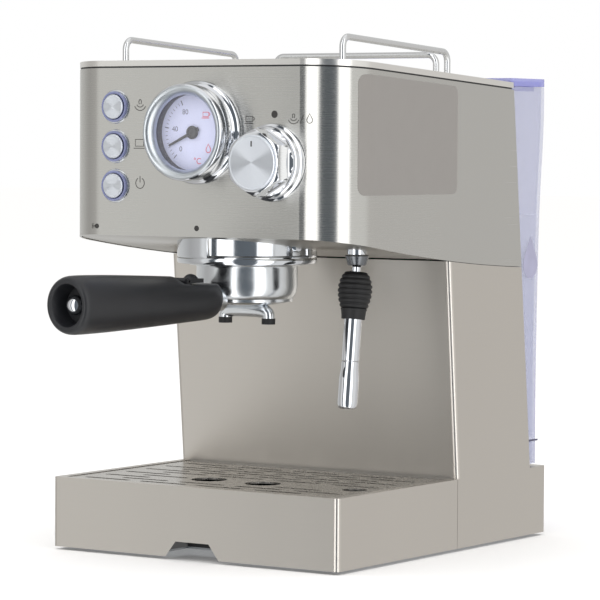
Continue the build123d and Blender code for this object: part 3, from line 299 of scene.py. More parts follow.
def brushed_steel(name, base, roughness, across=0.88, wave=0.00022):
    """across is how much more a reflection spreads up and down than from side to side."""
    material, tree, shader = finish(name, base, roughness, 1.0, Anisotropic=across, Anisotropic_Rotation=0.25)
    fine = grain(tree, (10, 10, 1000 / SCRATCH_MM))
    cloud = grain(tree, (1000 / WAVE_MM, 1000 / WAVE_MM, 2.5), 1.0)
    tone = add(tree, "ShaderNodeMix", {0: 0.5, 2: fine.outputs["Fac"], 3: cloud.outputs["Fac"]})
    rough = spread(tree, tone.outputs[0], roughness * 0.92, roughness * 1.08)
    tree.links.new(rough, shader.inputs["Roughness"])
    shade = ramp(tree, tone.outputs[0], [(0.3, tuned(base, 0.97)), (0.7, tuned(base, 1.0))])
    tree.links.new(shade.outputs["Color"], shader.inputs["Base Color"])
    slow = add(tree, "ShaderNodeBump", {"Height": cloud.outputs["Fac"], "Strength": 1.0, "Distance": wave})
    quick = {"Height": fine.outputs["Fac"], "Strength": 0.06, "Distance": 0.00003, "Normal": slow.outputs[0]}
    tree.links.new(add(tree, "ShaderNodeBump", quick).outputs["Normal"], shader.inputs["Normal"])
    return material


STEEL_HEAD = brushed_steel("brushed_stainless_head", "#cac9c5", 0.27)
STEEL_BODY = brushed_steel("brushed_stainless_body", "#d5d0c9", 0.36, 0.7)
STEEL_TOP = brushed_steel("brushed_stainless_cover", "#f0eeea", 0.34)
STEEL_FLOOR = brushed_steel("brushed_stainless_underside", "#b9b6b0", 0.34)
print("scratches", SCRATCH_MM, "mm, waves", WAVE_MM, "mm")

# %% [markdown]
# ## Turned faces
# The caps of the buttons and the knob are aluminium, faced off on a lathe. The tool
# leaves rings round the middle, and each ring throws light outwards and inwards, so two
# bright fans cross the face. A tangent that runs round the axis gives exactly that.


# %% Spun aluminium
def spun(name, base, roughness, strength, axis="Y"):
    material, tree, shader = finish(name, base, roughness, 1.0, Anisotropic=strength)
    around = add(tree, "ShaderNodeTangent", direction_type="RADIAL", axis=axis)
    tree.links.new(around.outputs[0], shader.inputs["Tangent"])
    fine = grain(tree, (900, 900, 900), 2.0)
    rough = spread(tree, fine.outputs["Fac"], roughness * 0.85, roughness * 1.15)
    tree.links.new(rough, shader.inputs["Roughness"])
    return material


SPUN = spun("spun_aluminium_cap", "#e4e8ee", 0.42, 0.9)
SATIN_RING = spun("satin_spun_ring", "#d3d8dc", 0.36, 0.5)

# %% [markdown]
# ## Plated and cast metal
# Chrome plate on brass is close to a mirror, with a faint waviness left by polishing.
# Zinc plate is dull and slightly mottled, and sand-cast aluminium keeps its grain.


# %% Chrome, zinc, castings
def plated(name, base, roughness, blotch_mm, depth=0.00002, strength=0.1):
    """A metal whose polish varies in soft blotches of the given size."""
    material, tree, shader = finish(name, base, roughness, 1.0)
    per_metre = 1000 / blotch_mm
    blotch = grain(tree, (per_metre, per_metre, per_metre), 2.0)
    rough = spread(tree, blotch.outputs["Fac"], roughness * 0.6, roughness * 1.5)
    tree.links.new(rough, shader.inputs["Roughness"])
    bump(tree, shader, blotch.outputs["Fac"], strength, depth)
    return material


CHROME = plated("bright_chrome_plate", "#dcdee2", 0.05, 9.0)
CHROME_SATIN = plated("satin_chrome_plate", "#d9dcdf", 0.2, 6.0)
CHROME_SOFT = plated("cast_chrome_plate", "#d6d9dd", 0.1, 7.0, 0.00005)
ZINC = plated("zinc_plated_steel", "#9a9da0", 0.38, 4.0)
CAST = plated("sand_cast_aluminium", "#a8a8a8", 0.55, 1.2, 0.0001, 0.5)
NUT_GREY = plated("grey_plated_nut", "#77797c", 0.25, 5.0)
BRASS = plated("turned_brass", "#b89a5a", 0.25, 3.0)
COPPER = plated("drawn_copper", "#c07a55", 0.25, 8.0)
PRESSED = plated("pressed_stainless", "#c6c2bc", 0.26, 5.0)
WIRE = plated("polished_wire", "#dedfe0", 0.13, 5.0)
print("metals ready")

# %% [markdown]
# ## Plastic, rubber and print
# Moulded plastic takes the fine texture of its mould, so its gloss is broken by a grain
# of about a third of a millimetre. Rubber is duller, and printing ink is flat.


# %% Moulded plastics
def moulded(name, base, roughness, grain_mm=0.35, depth=0.00002, strength=0.25, mottle=0.09, **more):
    material, tree, shader = finish(name, base, roughness, 0.0, **more)
    per_metre = 1000 / grain_mm
    fine = grain(tree, (per_metre, per_metre, per_metre), 2.0)
    soft = grain(tree, (per_metre / 40, per_metre / 40, per_metre / 40), 2.0)
    rough = spread(tree, soft.outputs["Fac"], roughness * (1 - mottle), roughness * (1 + mottle))
    tree.links.new(rough, shader.inputs["Roughness"])
    shade = ramp(tree, soft.outputs["Fac"], [(0.3, tuned(base, 1 - mottle)), (0.7, tuned(base, 1 + mottle))])
    tree.links.new(shade.outputs["Color"], shader.inputs["Base Color"])
    bump(tree, shader, fine.outputs["Fac"], strength, depth)
    return material


BLACK = moulded("moulded_black_abs", "#18181b", 0.42)
HANDLE = moulded("moulded_phenolic_black", "#1c1d21", 0.40, 0.5)
RUBBER = moulded("black_nitrile_rubber", "#141416", 0.55, 0.6)
GREY_PLASTIC = moulded("moulded_grey_nylon", "#77787c", 0.4, mottle=0.03)
INK = moulded("black_panel_ink", "#33312f", 0.6)
RED_INK = moulded("red_dial_ink", "#e0506e", 0.6)
DIAL_INK = moulded("grey_dial_ink", "#55546c", 0.6)
FROST = moulded("frosted_tank_sign", "#a5a4bd", 0.5)
NEEDLE = moulded("painted_needle_black", "#24242c", 0.45)
DIAL = moulded("printed_dial_card", "#dde1ff", 0.6, 0.2, 0.000005, mottle=0.02)
RING_BLUE = moulded("smoked_button_ring", "#7b81a6", 0.24, 0.4, 0.00001, Coat_Weight=0.6)
FILM = moulded("grey_vinyl_film", "#8f8b87", 0.36, 0.3, 0.000005, mottle=0.01)
SILICONE = moulded("silicone_hose", "#d8d6cc", 0.5)
BOARD = moulded("green_circuit_board", "#1f5a38", 0.4)
SHADE = moulded("shaded_dial_wall", "#3a3948", 0.5)
print("plastics and inks ready")

# %% [markdown]
# ## Clear plastic
# The tank is blown in a clear plastic with a faint violet tint. Looking straight
# through the wall hardly tints what is behind it, and looking along the wall tints it
# deeply, so the colour follows the angle of view as it does in any thick clear wall.


# %% Tank and window
DEEP_TO, CLEAR_FROM = 60.0, 220.0  # heights between which the tank's wall clears


def clear_plastic(name, face_on, edge_on, alpha, roughness=0.08, deep=None):
    """deep is the alpha near the foot, where two walls and the floor lie behind each other."""
    material, tree, shader = finish(name, face_on, roughness, 0.0, Alpha=alpha)
    rim = add(tree, "ShaderNodeLayerWeight", {"Blend": 0.35})
    shade = ramp(tree, rim.outputs["Facing"], [(0.25, colour(face_on)), (0.95, colour(edge_on))])
    tree.links.new(shade.outputs["Color"], shader.inputs["Base Color"])
    height = add(tree, "ShaderNodeSeparateXYZ", {0: add(tree, "ShaderNodeTexCoord").outputs["Object"]})
    fall = {"Value": height.outputs["Z"], "From Min": DEEP_TO * MM, "From Max": CLEAR_FROM * MM}
    fall |= {"To Min": deep or alpha, "To Max": alpha}
    tree.links.new(add(tree, "ShaderNodeMapRange", fall).outputs["Result"], shader.inputs["Alpha"])
    haze = grain(tree, (60, 60, 12), 2.0)
    tree.links.new(spread(tree, haze.outputs["Fac"], roughness, roughness * 2.2), shader.inputs["Roughness"])
    return material


TANK = clear_plastic("clear_tank_plastic", "#ced1e4", "#9a9cd4", 0.36, deep=0.62)
LID = clear_plastic("tinted_lid_plastic", "#a9abe6", "#6a6cc4", 0.72)
GLASS = clear_plastic("gauge_window_glass", "#ffffff", "#dfe3ff", 0.06, 0.02)
print("clear plastics ready")

# %% [markdown]
# ## Finishes for the CAD pieces
# Each node of the construction names a material slot. One table turns the slot into a
# finish, and a few pieces whose finish differs from their neighbours' come after it.

# %% Give every node its finish
FINISHES = {
    "brushed_steel": STEEL_BODY,
    "grid_steel": PRESSED,
    "satin_floor": STEEL_FLOOR,
    "zinc_plate": ZINC,
    "chrome": CHROME,
    "spun_aluminium": SPUN,
    "cast_aluminium": CAST,
    "lit_ring": RING_BLUE,
    "black_plastic": BLACK,
    "grey_plastic": GREY_PLASTIC,
    "handle_black": HANDLE,
    "needle_black": NEEDLE,
    "dial_face": DIAL,
    "label_film": FILM,
    "clear_glass": GLASS,
    "tank_clear": TANK,
    "tank_lid_clear": LID,
    "black_rubber": RUBBER,
    "brass": BRASS,
    "copper_pipe": COPPER,
    "hose_silicone": SILICONE,
    "pump_black": BLACK,
    "board_green": BOARD,
}
SPECIAL = {"head_shell": STEEL_HEAD, "top_cover": STEEL_TOP, "cup_rails": WIRE}
for part in frame["record"]["subparts"]:
    mesh = nodes[part["node"]].data
    mesh.materials.clear()
    mesh.materials.append(SPECIAL.get(part["node"], FINISHES[part["material_slot"]]))

# %% [markdown]
# ## How new pieces are made
# A piece is a list of points in millimetres and a list of faces. Its mesh is cleaned,
# its normals are turned outwards, and corners sharper than 35 degrees stay crisp.


# %% Making and placing a piece
def piece(name, points, faces, material, body, slot, stands_for=()):
    mesh = bpy.data.meshes.new(name)
    mesh.from_pydata([at(*p) for p in points], [], faces)
    return settle(name, mesh, material, body, stands_for)


def settle(name, mesh, material, body, stands_for=()):
    """Cleans a mesh and makes it a piece that rides on a body."""
    shape = bmesh.new()
    shape.from_mesh(mesh)
    bmesh.ops.remove_doubles(shape, verts=shape.verts, dist=0.002 * MM)
    bmesh.ops.dissolve_degenerate(shape, edges=shape.edges, dist=0.001 * MM)
    bmesh.ops.recalc_face_normals(shape, faces=shape.faces)
    shape.to_mesh(mesh)
    shape.free()
    mesh.materials.clear()
    mesh.materials.append(material)
    mesh.shade_smooth()
    mesh.set_sharp_from_angle(angle=math.radians(35))
    obj = bpy.data.objects.new(name, mesh)
    bpy.context.scene.collection.objects.link(obj)
    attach(obj, body)
    if stands_for:
        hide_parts(*stands_for)
    return obj


def sides_of(axis):
    """Two directions square to an axis."""
    axis = Vector(axis).normalized()
    helper = Vector((1, 0, 0)) if abs(axis.x) < 0.9 else Vector((0, 1, 0))
    u = axis.cross(helper).normalized()
    return axis, u, axis.cross(u)


def turned(outline, origin, axis, steps=96):
    """Points and faces of a shape turned on a lathe; outline is a closed loop of (radius, distance)."""
    axis, u, v = sides_of(axis)
    points, faces, count = [], [], len(outline)
    for i in range(steps):
        t = 2 * math.pi * i / steps
        spoke = math.cos(t) * u + math.sin(t) * v
        points += [Vector(origin) + axis * d + spoke * r for r, d in outline]
        for k in range(count):
            n = (k + 1) % count
            a, b = i * count, (i + 1) % steps * count
            faces.append((a + k, a + n, b + n, b + k))
    return points, faces


def smooth_line(corners, steps=4):
    """Rounds an outline: a soft curve through its corners (Catmull-Rom), ends kept."""
    out = []
    for i in range(len(corners) - 1):
        p0, p1 = corners[max(i - 1, 0)], corners[i]
        p2, p3 = corners[i + 1], corners[min(i + 2, len(corners) - 1)]
        for k in range(steps):
            t = k / steps
            point = []
            for a, b, c, d in zip(p0, p1, p2, p3):
                bend = (2 * a - 5 * b + 4 * c - d) * t * t + (3 * b - a - 3 * c + d) * t**3
                point.append(0.5 * (2 * b + (c - a) * t + bend))
            out.append(tuple(point))
    return out + [tuple(corners[-1])]


# %% [markdown]
# ## Copies by Geometry Nodes
# The dial's ticks repeat, so one small tree places their copies on an arc. The tree ends
# in plain geometry: realised, with its material set, and then read back as a mesh.


# %% A tree for copies along a rule
def new_tree(name, sockets):
    tree = bpy.data.node_groups.new(name, "GeometryNodeTree")
    for label, kind in sockets:
        tree.interface.new_socket(name=label, in_out="INPUT", socket_type=kind)
    tree.interface.new_socket(name="Geometry", in_out="OUTPUT", socket_type="NodeSocketGeometry")
    return tree, add(tree, "NodeGroupInput")


def close_tree(tree, geometry, material):
    real = add(tree, "GeometryNodeRealizeInstances", {0: geometry})
    done = add(tree, "GeometryNodeSetMaterial", {"Geometry": real.outputs[0], "Material": material})
    add(tree, "NodeGroupOutput", {0: done.outputs[0]})


def grown(name, tree, values):
    """Runs a tree and gives back its result as a plain mesh."""
    host = bpy.data.objects.new(name, bpy.data.meshes.new(name))
    bpy.context.scene.collection.objects.link(host)
    modifier = host.modifiers.new("grow", "NODES")
    modifier.node_group = tree
    for item in tree.interface.items_tree:
        if item.in_out == "INPUT" and item.name in values:
            modifier[item.identifier] = values[item.name]
    mesh = bpy.data.meshes.new_from_object(host.evaluated_get(bpy.context.evaluated_depsgraph_get()))
    host.modifiers.remove(modifier)
    bpy.data.objects.remove(host)
    return mesh


def arc_of_bars(material):
    """Bars that point at a middle, on an arc in the XZ plane; sizes are in metres."""
    sockets = [("Count", "NodeSocketInt")]
    sockets += [(n, "NodeSocketFloat") for n in ("Radius", "Start", "Step", "Length", "Width", "Thickness")]
    tree, given = new_tree("arc_of_bars", sockets)
    index = add(tree, "GeometryNodeInputIndex").outputs[0]
    turn = add(tree, "ShaderNodeMath", {0: index, 1: given.outputs["Step"]}, operation="MULTIPLY")
    turn = add(tree, "ShaderNodeMath", {0: turn.outputs[0], 1: given.outputs["Start"]})
    size = {"X": given.outputs["Length"], "Y": given.outputs["Thickness"], "Z": given.outputs["Width"]}
    bar = add(tree, "GeometryNodeMeshCube", {"Size": add(tree, "ShaderNodeCombineXYZ", size).outputs[0]})
    reach = add(tree, "ShaderNodeCombineXYZ", {"X": given.outputs["Radius"]})
    back = add(tree, "ShaderNodeMath", {0: turn.outputs[0], 1: -1.0}, operation="MULTIPLY")
    place = {"Vector": reach.outputs[0], "Axis": (0, 1, 0), "Angle": back.outputs[0]}
    place = add(tree, "ShaderNodeVectorRotate", place)
    spots = add(tree, "GeometryNodePoints", {"Count": given.outputs["Count"], "Position": place.outputs[0]})
    tilt = add(tree, "ShaderNodeCombineXYZ", {"Y": back.outputs[0]})
    copies = {"Points": spots.outputs[0], "Instance": bar.outputs[0], "Rotation": tilt.outputs[0]}
    close_tree(tree, add(tree, "GeometryNodeInstanceOnPoints", copies).outputs[0], material)
    return tree


def moved(mesh, x, y, z):
    """Puts a mesh that was made round zero, in metres, at a place in millimetres."""
    mesh.transform(Matrix.Translation(at(x, y, z)))
    return mesh


# %% [markdown]
# ## The gauge
# A brew thermometer: a card dial deep in a turned case, a chrome body that steps in
# behind its front, and a broad satin ring that slopes in to the window. The numbers are
# plain temperatures. The ticks are one Geometry Nodes arc for the fine ones and one for
# the main ones.

# %% Gauge body, ring and window
PANEL = 5.0  # the panel's front face
FINE_STEPS = 144  # flats round the largest turned pieces
GAUGE = (0.0, 257.5)
FORWARD = (0, -1, 0)
gauge_base = (GAUGE[0], PANEL, GAUGE[1])
SIDE_LINE = [(31, 1.4), (30.4, 2.3), (29.2, 3.0), (28.0, 4.4), (27.3, 6.4), (27.2, 9.4), (27.8, 11.0)]
SIDE_LINE += [(28.7, 11.7), (29.0, 12.8), (29.0, 15.0), (28.7, 16.5), (27.9, 17.4)]
side_line = [(25.2, 0), (31, 0), *smooth_line(SIDE_LINE, 3), (26.0, 14.4), (25.2, 11.0)]
gauge_body = turned(side_line, gauge_base, FORWARD, FINE_STEPS)
piece("gauge_bezel_body", *gauge_body, CHROME, "machine", "chrome", ["gauge_bezel"])
RING_LINE = [(27.9, 17.4), (27.0, 17.95), (25.9, 17.7), (24.5, 16.6), (23.3, 14.9), (22.6, 13.2)]
RING_LINE.append((22.4, 11.8))
ring_line = [*smooth_line(RING_LINE, 3), (22.6, 11.2), (23.4, 11.0), (26.0, 14.4)]
front_ring = turned(ring_line, gauge_base, FORWARD, FINE_STEPS)
piece("gauge_front_ring", *front_ring, SATIN_RING, "machine", "spun_aluminium")
wall_line = [(23.4, 10.9), (24.4, 10.9), (24.4, 5.1), (22.9, 5.1)]
piece("gauge_inner_wall", *turned(wall_line, gauge_base, FORWARD), SHADE, "machine", "black_plastic")
window_line = [(0, 11.0), (22.9, 11.0), (23.3, 10.6), (22.9, 10.2), (0, 10.2)]
window = turned(window_line, gauge_base, FORWARD)
piece("gauge_window", *window, GLASS, "machine", "clear_glass", ["gauge_lens"])

# %% Dial marks
DIAL_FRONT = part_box("gauge_dial")[0].y
DIAL_Y = (DIAL_FRONT - FRONT) / MM
INK_THICK = 0.06
ZERO_TURN, TURN_PER_UNIT = 228.0, 1.41  # where 0 stands, and degrees for each unit
TICK_R = 19.4
ticks = arc_of_bars(DIAL_INK)
FINE = {"Count": 17, "Radius": TICK_R * MM, "Length": 1.7 * MM, "Width": 0.26 * MM}
FINE["Thickness"] = INK_THICK * MM
FINE |= {"Start": math.radians(ZERO_TURN), "Step": math.radians(-5 * TURN_PER_UNIT)}
MAIN = FINE | {"Count": 3, "Step": math.radians(-40 * TURN_PER_UNIT), "Length": 3.0 * MM, "Width": 0.5 * MM}
for name, values in (("dial_fine_ticks", FINE), ("dial_main_ticks", MAIN)):
    mesh = moved(grown(name, ticks, values), GAUGE[0], DIAL_Y - INK_THICK / 2, GAUGE[1])
    settle(name, mesh, DIAL_INK, "machine")


def lettered(name, text, size, x, y, z, material):
    """Plain characters on an upright face, made a mesh first and then stood up."""
    curve = bpy.data.curves.new(name, "FONT")
    curve.body, curve.size, curve.align_x, curve.align_y = text, size * MM, "CENTER", "CENTER"
    curve.extrude = INK_THICK / 2 * MM
    host = bpy.data.objects.new(name, curve)
    bpy.context.scene.collection.objects.link(host)
    mesh = bpy.data.meshes.new_from_object(host.evaluated_get(bpy.context.evaluated_depsgraph_get()))
    bpy.data.objects.remove(host)
    mesh.transform(Matrix.Rotation(math.radians(90), 4, "X"))
    return settle(name, moved(mesh, x, y, z), material, "machine")


for value in (0, 40, 80):
    turn = math.radians(ZERO_TURN - value * TURN_PER_UNIT)
    x, z = 13.4 * math.cos(turn), GAUGE[1] + 13.4 * math.sin(turn)
    lettered(f"dial_number_{value}", str(value), 4.4, x, DIAL_Y - INK_THICK / 2, z, DIAL_INK)
lettered("dial_unit", "°C", 5.2, 3.2, DIAL_Y - INK_THICK / 2, GAUGE[1] - 17.2, RED_INK)
print("dial marks at", round(DIAL_Y, 2), "mm")

# %% [markdown]
# ## Flat marks
# Small pictures stand beside the buttons and the knob: a steaming pan, a cup, a switch
# sign, a drop. Each is drawn with strokes of one width, a tenth of a millimetre proud.
# A stroke is a ribbon that follows the panel round its bend, so the marks near the
# corner wrap with the sheet.

# %% Drawing strokes on the panel
HALF = 105.0
BEND_R = 32.0
MARK_LIFT, MARK_THICK = 0.02, 0.08


def on_panel(x, z, lift):
    """A place on the head's front, with x measured along the sheet from its middle."""
    past = x - (HALF - BEND_R)
    if past <= 0:
        return (x, PANEL - lift, z)
    turn = past / BEND_R
    reach = BEND_R + lift
    return (HALF - BEND_R + reach * math.sin(turn), PANEL + BEND_R - reach * math.cos(turn), z)


def ribbon(line, width, place, lift, closed=False):
    """A flat ribbon of one width along a line of (x, z) points, as a thin closed solid."""
    line = [Vector((*p, 0)) for p in line]
    points, faces, count = [], [], len(line)
    for i, middle in enumerate(line):
        before = line[(i - 1) % count] if closed or i else middle
        after = line[(i + 1) % count] if closed or i < count - 1 else middle
        run = (after - before).normalized()
        side = Vector((-run.y, run.x, 0)) * width / 2
        for h in (lift, lift + MARK_THICK):
            for edge in (middle + side, middle - side):
                points.append(place(edge.x, edge.y, h))
    for i in range(count if closed else count - 1):
        a, b = 4 * i, 4 * ((i + 1) % count)
        faces += [(a, b, b + 1, a + 1), (a + 2, a + 3, b + 3, b + 2)]
        faces += [(a, a + 2, b + 2, b), (a + 1, b + 1, b + 3, a + 3)]
    if not closed:
        last = 4 * (count - 1)
        faces += [(0, 1, 3, 2), (last, last + 2, last + 3, last + 1)]
    return points, faces


def arc(cx, cz, rx, rz, start, end, steps=16):
    turns = [math.radians(start + (end - start) * i / steps) for i in range(steps + 1)]
    return [(cx + rx * math.cos(t), cz + rz * math.sin(t)) for t in turns]


def joined(parts):
    points, faces = [], []
    for more_points, more_faces in parts:
        faces += [tuple(i + len(points) for i in face) for face in more_faces]
        points += more_points
    return points, faces


def dot(cx, cz, radius, place, lift):
    """A filled dot: a ribbon as wide as its own circle's radius."""
    return ribbon(arc(cx, cz, radius / 2, radius / 2, 0, 337.5, 15), radius, place, lift, closed=True)


def cup_strokes(cx, cz, w):
    """A cup with its ear, on a saucer line."""
    bowl = [(cx - w / 2, cz + w * 0.42), (cx - w / 2, cz - w * 0.24), (cx + w / 2, cz - w * 0.24)]
    bowl += [(cx + w / 2, cz + w * 0.42)]
    ear = arc(cx + w / 2, cz + w * 0.12, w * 0.26, w * 0.2, 80, -80, 8)
    saucer = [(cx - w * 0.7, cz - w * 0.44), (cx + w * 0.62, cz - w * 0.44)]
    return [(bowl, True), (ear, False), (saucer, False)]


def drop_line(cx, cz, w, h):
    """A drop: round below, pointed on top."""
    return [(cx, cz + h * 0.62), *arc(cx, cz - h * 0.12, w / 2, w / 2, 35, -215, 18)]


def steam_strokes(cx, cz, w):
    """Three plumes over a wide shallow pan."""
    pan = arc(cx, cz + w * 0.12, w * 0.5, w * 0.46, 200, 340, 14)
    inner = arc(cx, cz + w * 0.16, w * 0.3, w * 0.26, 200, 340, 10)
    plume = arc(cx, cz + w * 0.26, w * 0.11, w * 0.17, -60, 240, 12)
    return [(pan, False), (inner, False), (plume, False)]


def power_strokes(cx, cz, w):
    ring = arc(cx, cz, w * 0.5, w * 0.5, 118, 422, 24)
    return [(ring, False), ([(cx, cz + w * 0.66), (cx, cz + w * 0.06)], False)]


STROKE = 0.42
marks = []
for strokes in (
    steam_strokes(-43.0, 273.6, 8.6),
    cup_strokes(-43.4, 250.6, 6.2),
    power_strokes(-42.9, 226.8, 6.4),
    cup_strokes(37.2, 265.2, 4.8),
    steam_strokes(68.7, 265.4, 7.6),
    [(drop_line(79.6, 265.6, 3.6, 5.2), True)],
    [([(-79.0, 198.6), (-79.0, 201.8)], False), ([(-79.0, 200.2), (-76.4, 200.2)], False)],
):
    marks += [ribbon(line, STROKE, on_panel, MARK_LIFT, closed) for line, closed in strokes]
slash = [(73.4, 263.2), (75.6, 268.2)]
marks.append(ribbon(slash, STROKE, on_panel, MARK_LIFT))
marks.append(dot(55.2, 268.4, 2.2, on_panel, MARK_LIFT))
marks.append(dot(-75.6, 200.2, 1.5, on_panel, MARK_LIFT))
marks.append(dot(-0.7, 200.2, 1.7, on_panel, MARK_LIFT))
piece("panel_marks", *joined(marks), INK, "machine", "black_plastic")
print("panel marks drawn with", len(marks), "strokes")


# %% Red signs on the dial
def on_dial(x, z, lift):
    return (x, DIAL_Y - lift, z)


signs = [ribbon(line, 0.5, on_dial, 0.02, closed) for line, closed in cup_strokes(9.2, 267.9, 4.0)]
signs.append(ribbon(drop_line(11.2, 247.8, 3.4, 4.6), 0.5, on_dial, 0.02, closed=True))
piece("dial_signs", *joined(signs), RED_INK, "machine", "dial_face")
print("dial signs drawn with", len(signs), "strokes")

# %% [markdown]
# ## The needle
# A stamped hand with a domed hub. The hub is turned, and the hand is a thin wedge that
# narrows to its tip, with a short tail behind the pivot that balances it.

# %% Needle
HAND_TURN = math.radians(180 + 25)
hub_line = [(0, 0.3), (3.9, 0.3), (4.0, 1.4), (3.5, 2.2), (2.2, 2.6), (2.0, 2.3), (0, 2.4)]
needle_base = (GAUGE[0], DIAL_Y, GAUGE[1])


def hand(length, half_root, half_tip, tail):
    """A closed wedge in the dial's plane."""
    out = Vector((math.cos(HAND_TURN), 0, math.sin(HAND_TURN)))
    side = Vector((-out.z, 0, out.x))
    points = []
    for depth in (0.7, 1.5):
        for reach, half in ((-tail, half_root * 1.3), (0, half_root), (length, half_tip)):
            for sign in (1, -1):
                middle = Vector(needle_base) + out * reach + Vector(FORWARD) * depth
                points.append(middle + side * half * sign)
    low, top = (0, 1, 3, 5, 4, 2), (6, 8, 10, 11, 9, 7)
    rim = [(0, 2, 8, 6), (2, 4, 10, 8), (4, 5, 11, 10), (5, 3, 9, 11), (3, 1, 7, 9), (1, 0, 6, 7)]
    return points, [low, top, *rim]


parts = joined([turned(hub_line, needle_base, FORWARD, 48), hand(18.6, 0.95, 0.5, 5.0)])
piece("gauge_hand", *parts, NEEDLE, "needle", "needle_black", ["gauge_needle"])
print("needle made")

# %% [markdown]
# ## The selector knob
# A chromed knob milled from round bar: six flats are cut round it, and each ends in an
# arc where it runs out in the round flange behind and the bevel in front. Every point
# lies at the smaller of two radii, the turned one and the flat's, and that rule alone
# draws the arcs.

# %% Knob body
KNOB = (54.0, 240.0)
KNOB_BACK = -2.0
KNOB_TURN = [(0.0, 19.6), (0.6, 20.0), (2.0, 20.0), (2.6, 19.8), (11.4, 20.4), (12.6, 19.2), (13.3, 18.0)]
KNOB_TURN += [(13.6, 17.3), (13.7, 16.6)]
FLAT_R = 17.5


def turned_radius(s):
    for (s0, r0), (s1, r1) in zip(KNOB_TURN, KNOB_TURN[1:]):
        if s <= s1:
            return r0 + (r1 - r0) * (s - s0) / (s1 - s0)
    return KNOB_TURN[-1][1]


def flat_radius(turn, s):
    """Distance to the nearest flat, which opens out over the first millimetres at the back."""
    off = (turn + math.pi / 6) % (math.pi / 3) - math.pi / 6
    run_out = max(0.0, 3.4 - s) ** 2 * 0.5
    return (FLAT_R + run_out) / math.cos(off)


STATIONS = sorted({s for s, _ in KNOB_TURN} | {0.5 * i for i in range(28)})
KNOB_STEPS = 180
knob_points, knob_faces = [], []
for i in range(KNOB_STEPS):
    t = 2 * math.pi * i / KNOB_STEPS
    for s in STATIONS:
        r = min(turned_radius(s), flat_radius(t, s))
        knob_points.append((KNOB[0] + r * math.cos(t), KNOB_BACK - s, KNOB[1] + r * math.sin(t)))
    for k in range(len(STATIONS) - 1):
        a, b = i * len(STATIONS) + k, (i + 1) % KNOB_STEPS * len(STATIONS) + k
        knob_faces.append((a, a + 1, b + 1, b))
for end in (0, len(STATIONS) - 1):
    knob_faces.append([i * len(STATIONS) + end for i in range(KNOB_STEPS)])
piece("knob_body", knob_points, knob_faces, CHROME, "knob", "chrome", ["selector_knob"])

# %% Knob face and base ring
FACE_PROUD = 15.3
cap_line = [(0, 13.6), (15.9, 13.6), (16.3, 14.2), (16.3, 15.0), (15.9, 15.5), (15.2, 15.5)]
cap_line += [(15.0, FACE_PROUD), (0, FACE_PROUD)]
knob_back = (KNOB[0], KNOB_BACK, KNOB[1])
knob_face = turned(cap_line, knob_back, FORWARD, 120)
piece("knob_face", *knob_face, SPUN, "knob", "spun_aluminium", ["knob_cap"])
FACE_Y = KNOB_BACK - FACE_PROUD


def on_face(x, z, lift):
    return (x, FACE_Y - lift, z)


pointer = [(KNOB[0], KNOB[1] + 9.4), (KNOB[0], KNOB[1] + 12.6)]
tick = ribbon(pointer, 0.9, on_face, 0.01)
piece("knob_pointer", *tick, INK, "knob", "black_plastic")
base_line = [(7.6, 0), (23, 0), (23, 1.6), (22.7, 2.2), (22.0, 2.5), (21.4, 2.7), (21.1, 3.3), (21.0, 4.6)]
base_line += [(20.7, 5.2), (20.0, 5.5), (19.4, 5.6), (19.2, 6.0), (19.0, 6.6), (7.6, 6.6)]
ring_base = (KNOB[0], PANEL, KNOB[1])
base_ring = turned(base_line, ring_base, FORWARD, FINE_STEPS)
piece("knob_base_ring", *base_ring, CHROME, "machine", "chrome", ["knob_ring"])
print("knob made with", len(STATIONS), "stations")

# %% [markdown]
# ## The portafilter's handle
# The handle is moulded over a steel spigot. It swells towards its free end, which rolls
# over into a hollow with a domed screw. On top a flat is sunk for the basket clip, and a
# smooth shoulder leads up from the flat to the full round.

# %% Handle
GROUP_Y = 57.5
HANDLE_TURN = math.radians(-6)
HANDLE_AXIS = Vector((math.sin(HANDLE_TURN), -math.cos(HANDLE_TURN), 0))
HANDLE_SIDE = Vector((math.cos(HANDLE_TURN), math.sin(HANDLE_TURN), 0))
HANDLE_START, HANDLE_Z = 33.5, 157.5
GRIP_LINE = [(8.4, 0.2), (10.3, 0.9), (12.0, 3.0), (12.9, 8.0), (13.5, 20.0), (14.6, 42.0), (15.6, 64.0)]
GRIP_LINE += [(16.7, 92.0), (17.15, 112.0), (17.1, 121.0), (16.5, 124.2), (15.2, 126.0), (13.6, 126.4)]
GRIP_LINE += [(12.4, 125.6), (11.4, 122.0), (10.2, 114.7)]
FLAT_HEIGHT, SHOULDER_FROM, SHOULDER_TO = 9.0, 64.0, 77.0


def flat_height(d):
    """Height of the flat over the axis, rising in a smooth step at the shoulder."""
    t = min(max((d - SHOULDER_FROM) / (SHOULDER_TO - SHOULDER_FROM), 0.0), 1.0)
    return FLAT_HEIGHT + (20.0 - FLAT_HEIGHT) * t * t * (3 - 2 * t)


grip_line = smooth_line(GRIP_LINE, 5)
GRIP_STEPS = 96
grip_points, grip_faces = [], []
for i in range(GRIP_STEPS):
    t = 2 * math.pi * i / GRIP_STEPS
    for r, s in grip_line:
        d = HANDLE_START + s
        rise = math.sin(t)
        if rise > 0.01:
            r = min(r, flat_height(d) / rise)
        level = Vector((0, GROUP_Y, HANDLE_Z)) + HANDLE_AXIS * d + HANDLE_SIDE * r * math.cos(t)
        grip_points.append(level + Vector((0, 0, r * rise)))
    for k in range(len(grip_line) - 1):
        a, b = i * len(grip_line) + k, (i + 1) % GRIP_STEPS * len(grip_line) + k
        grip_faces.append((a, a + 1, b + 1, b))
for end in (0, len(grip_line) - 1):
    grip_faces.append([i * len(grip_line) + end for i in range(GRIP_STEPS)])


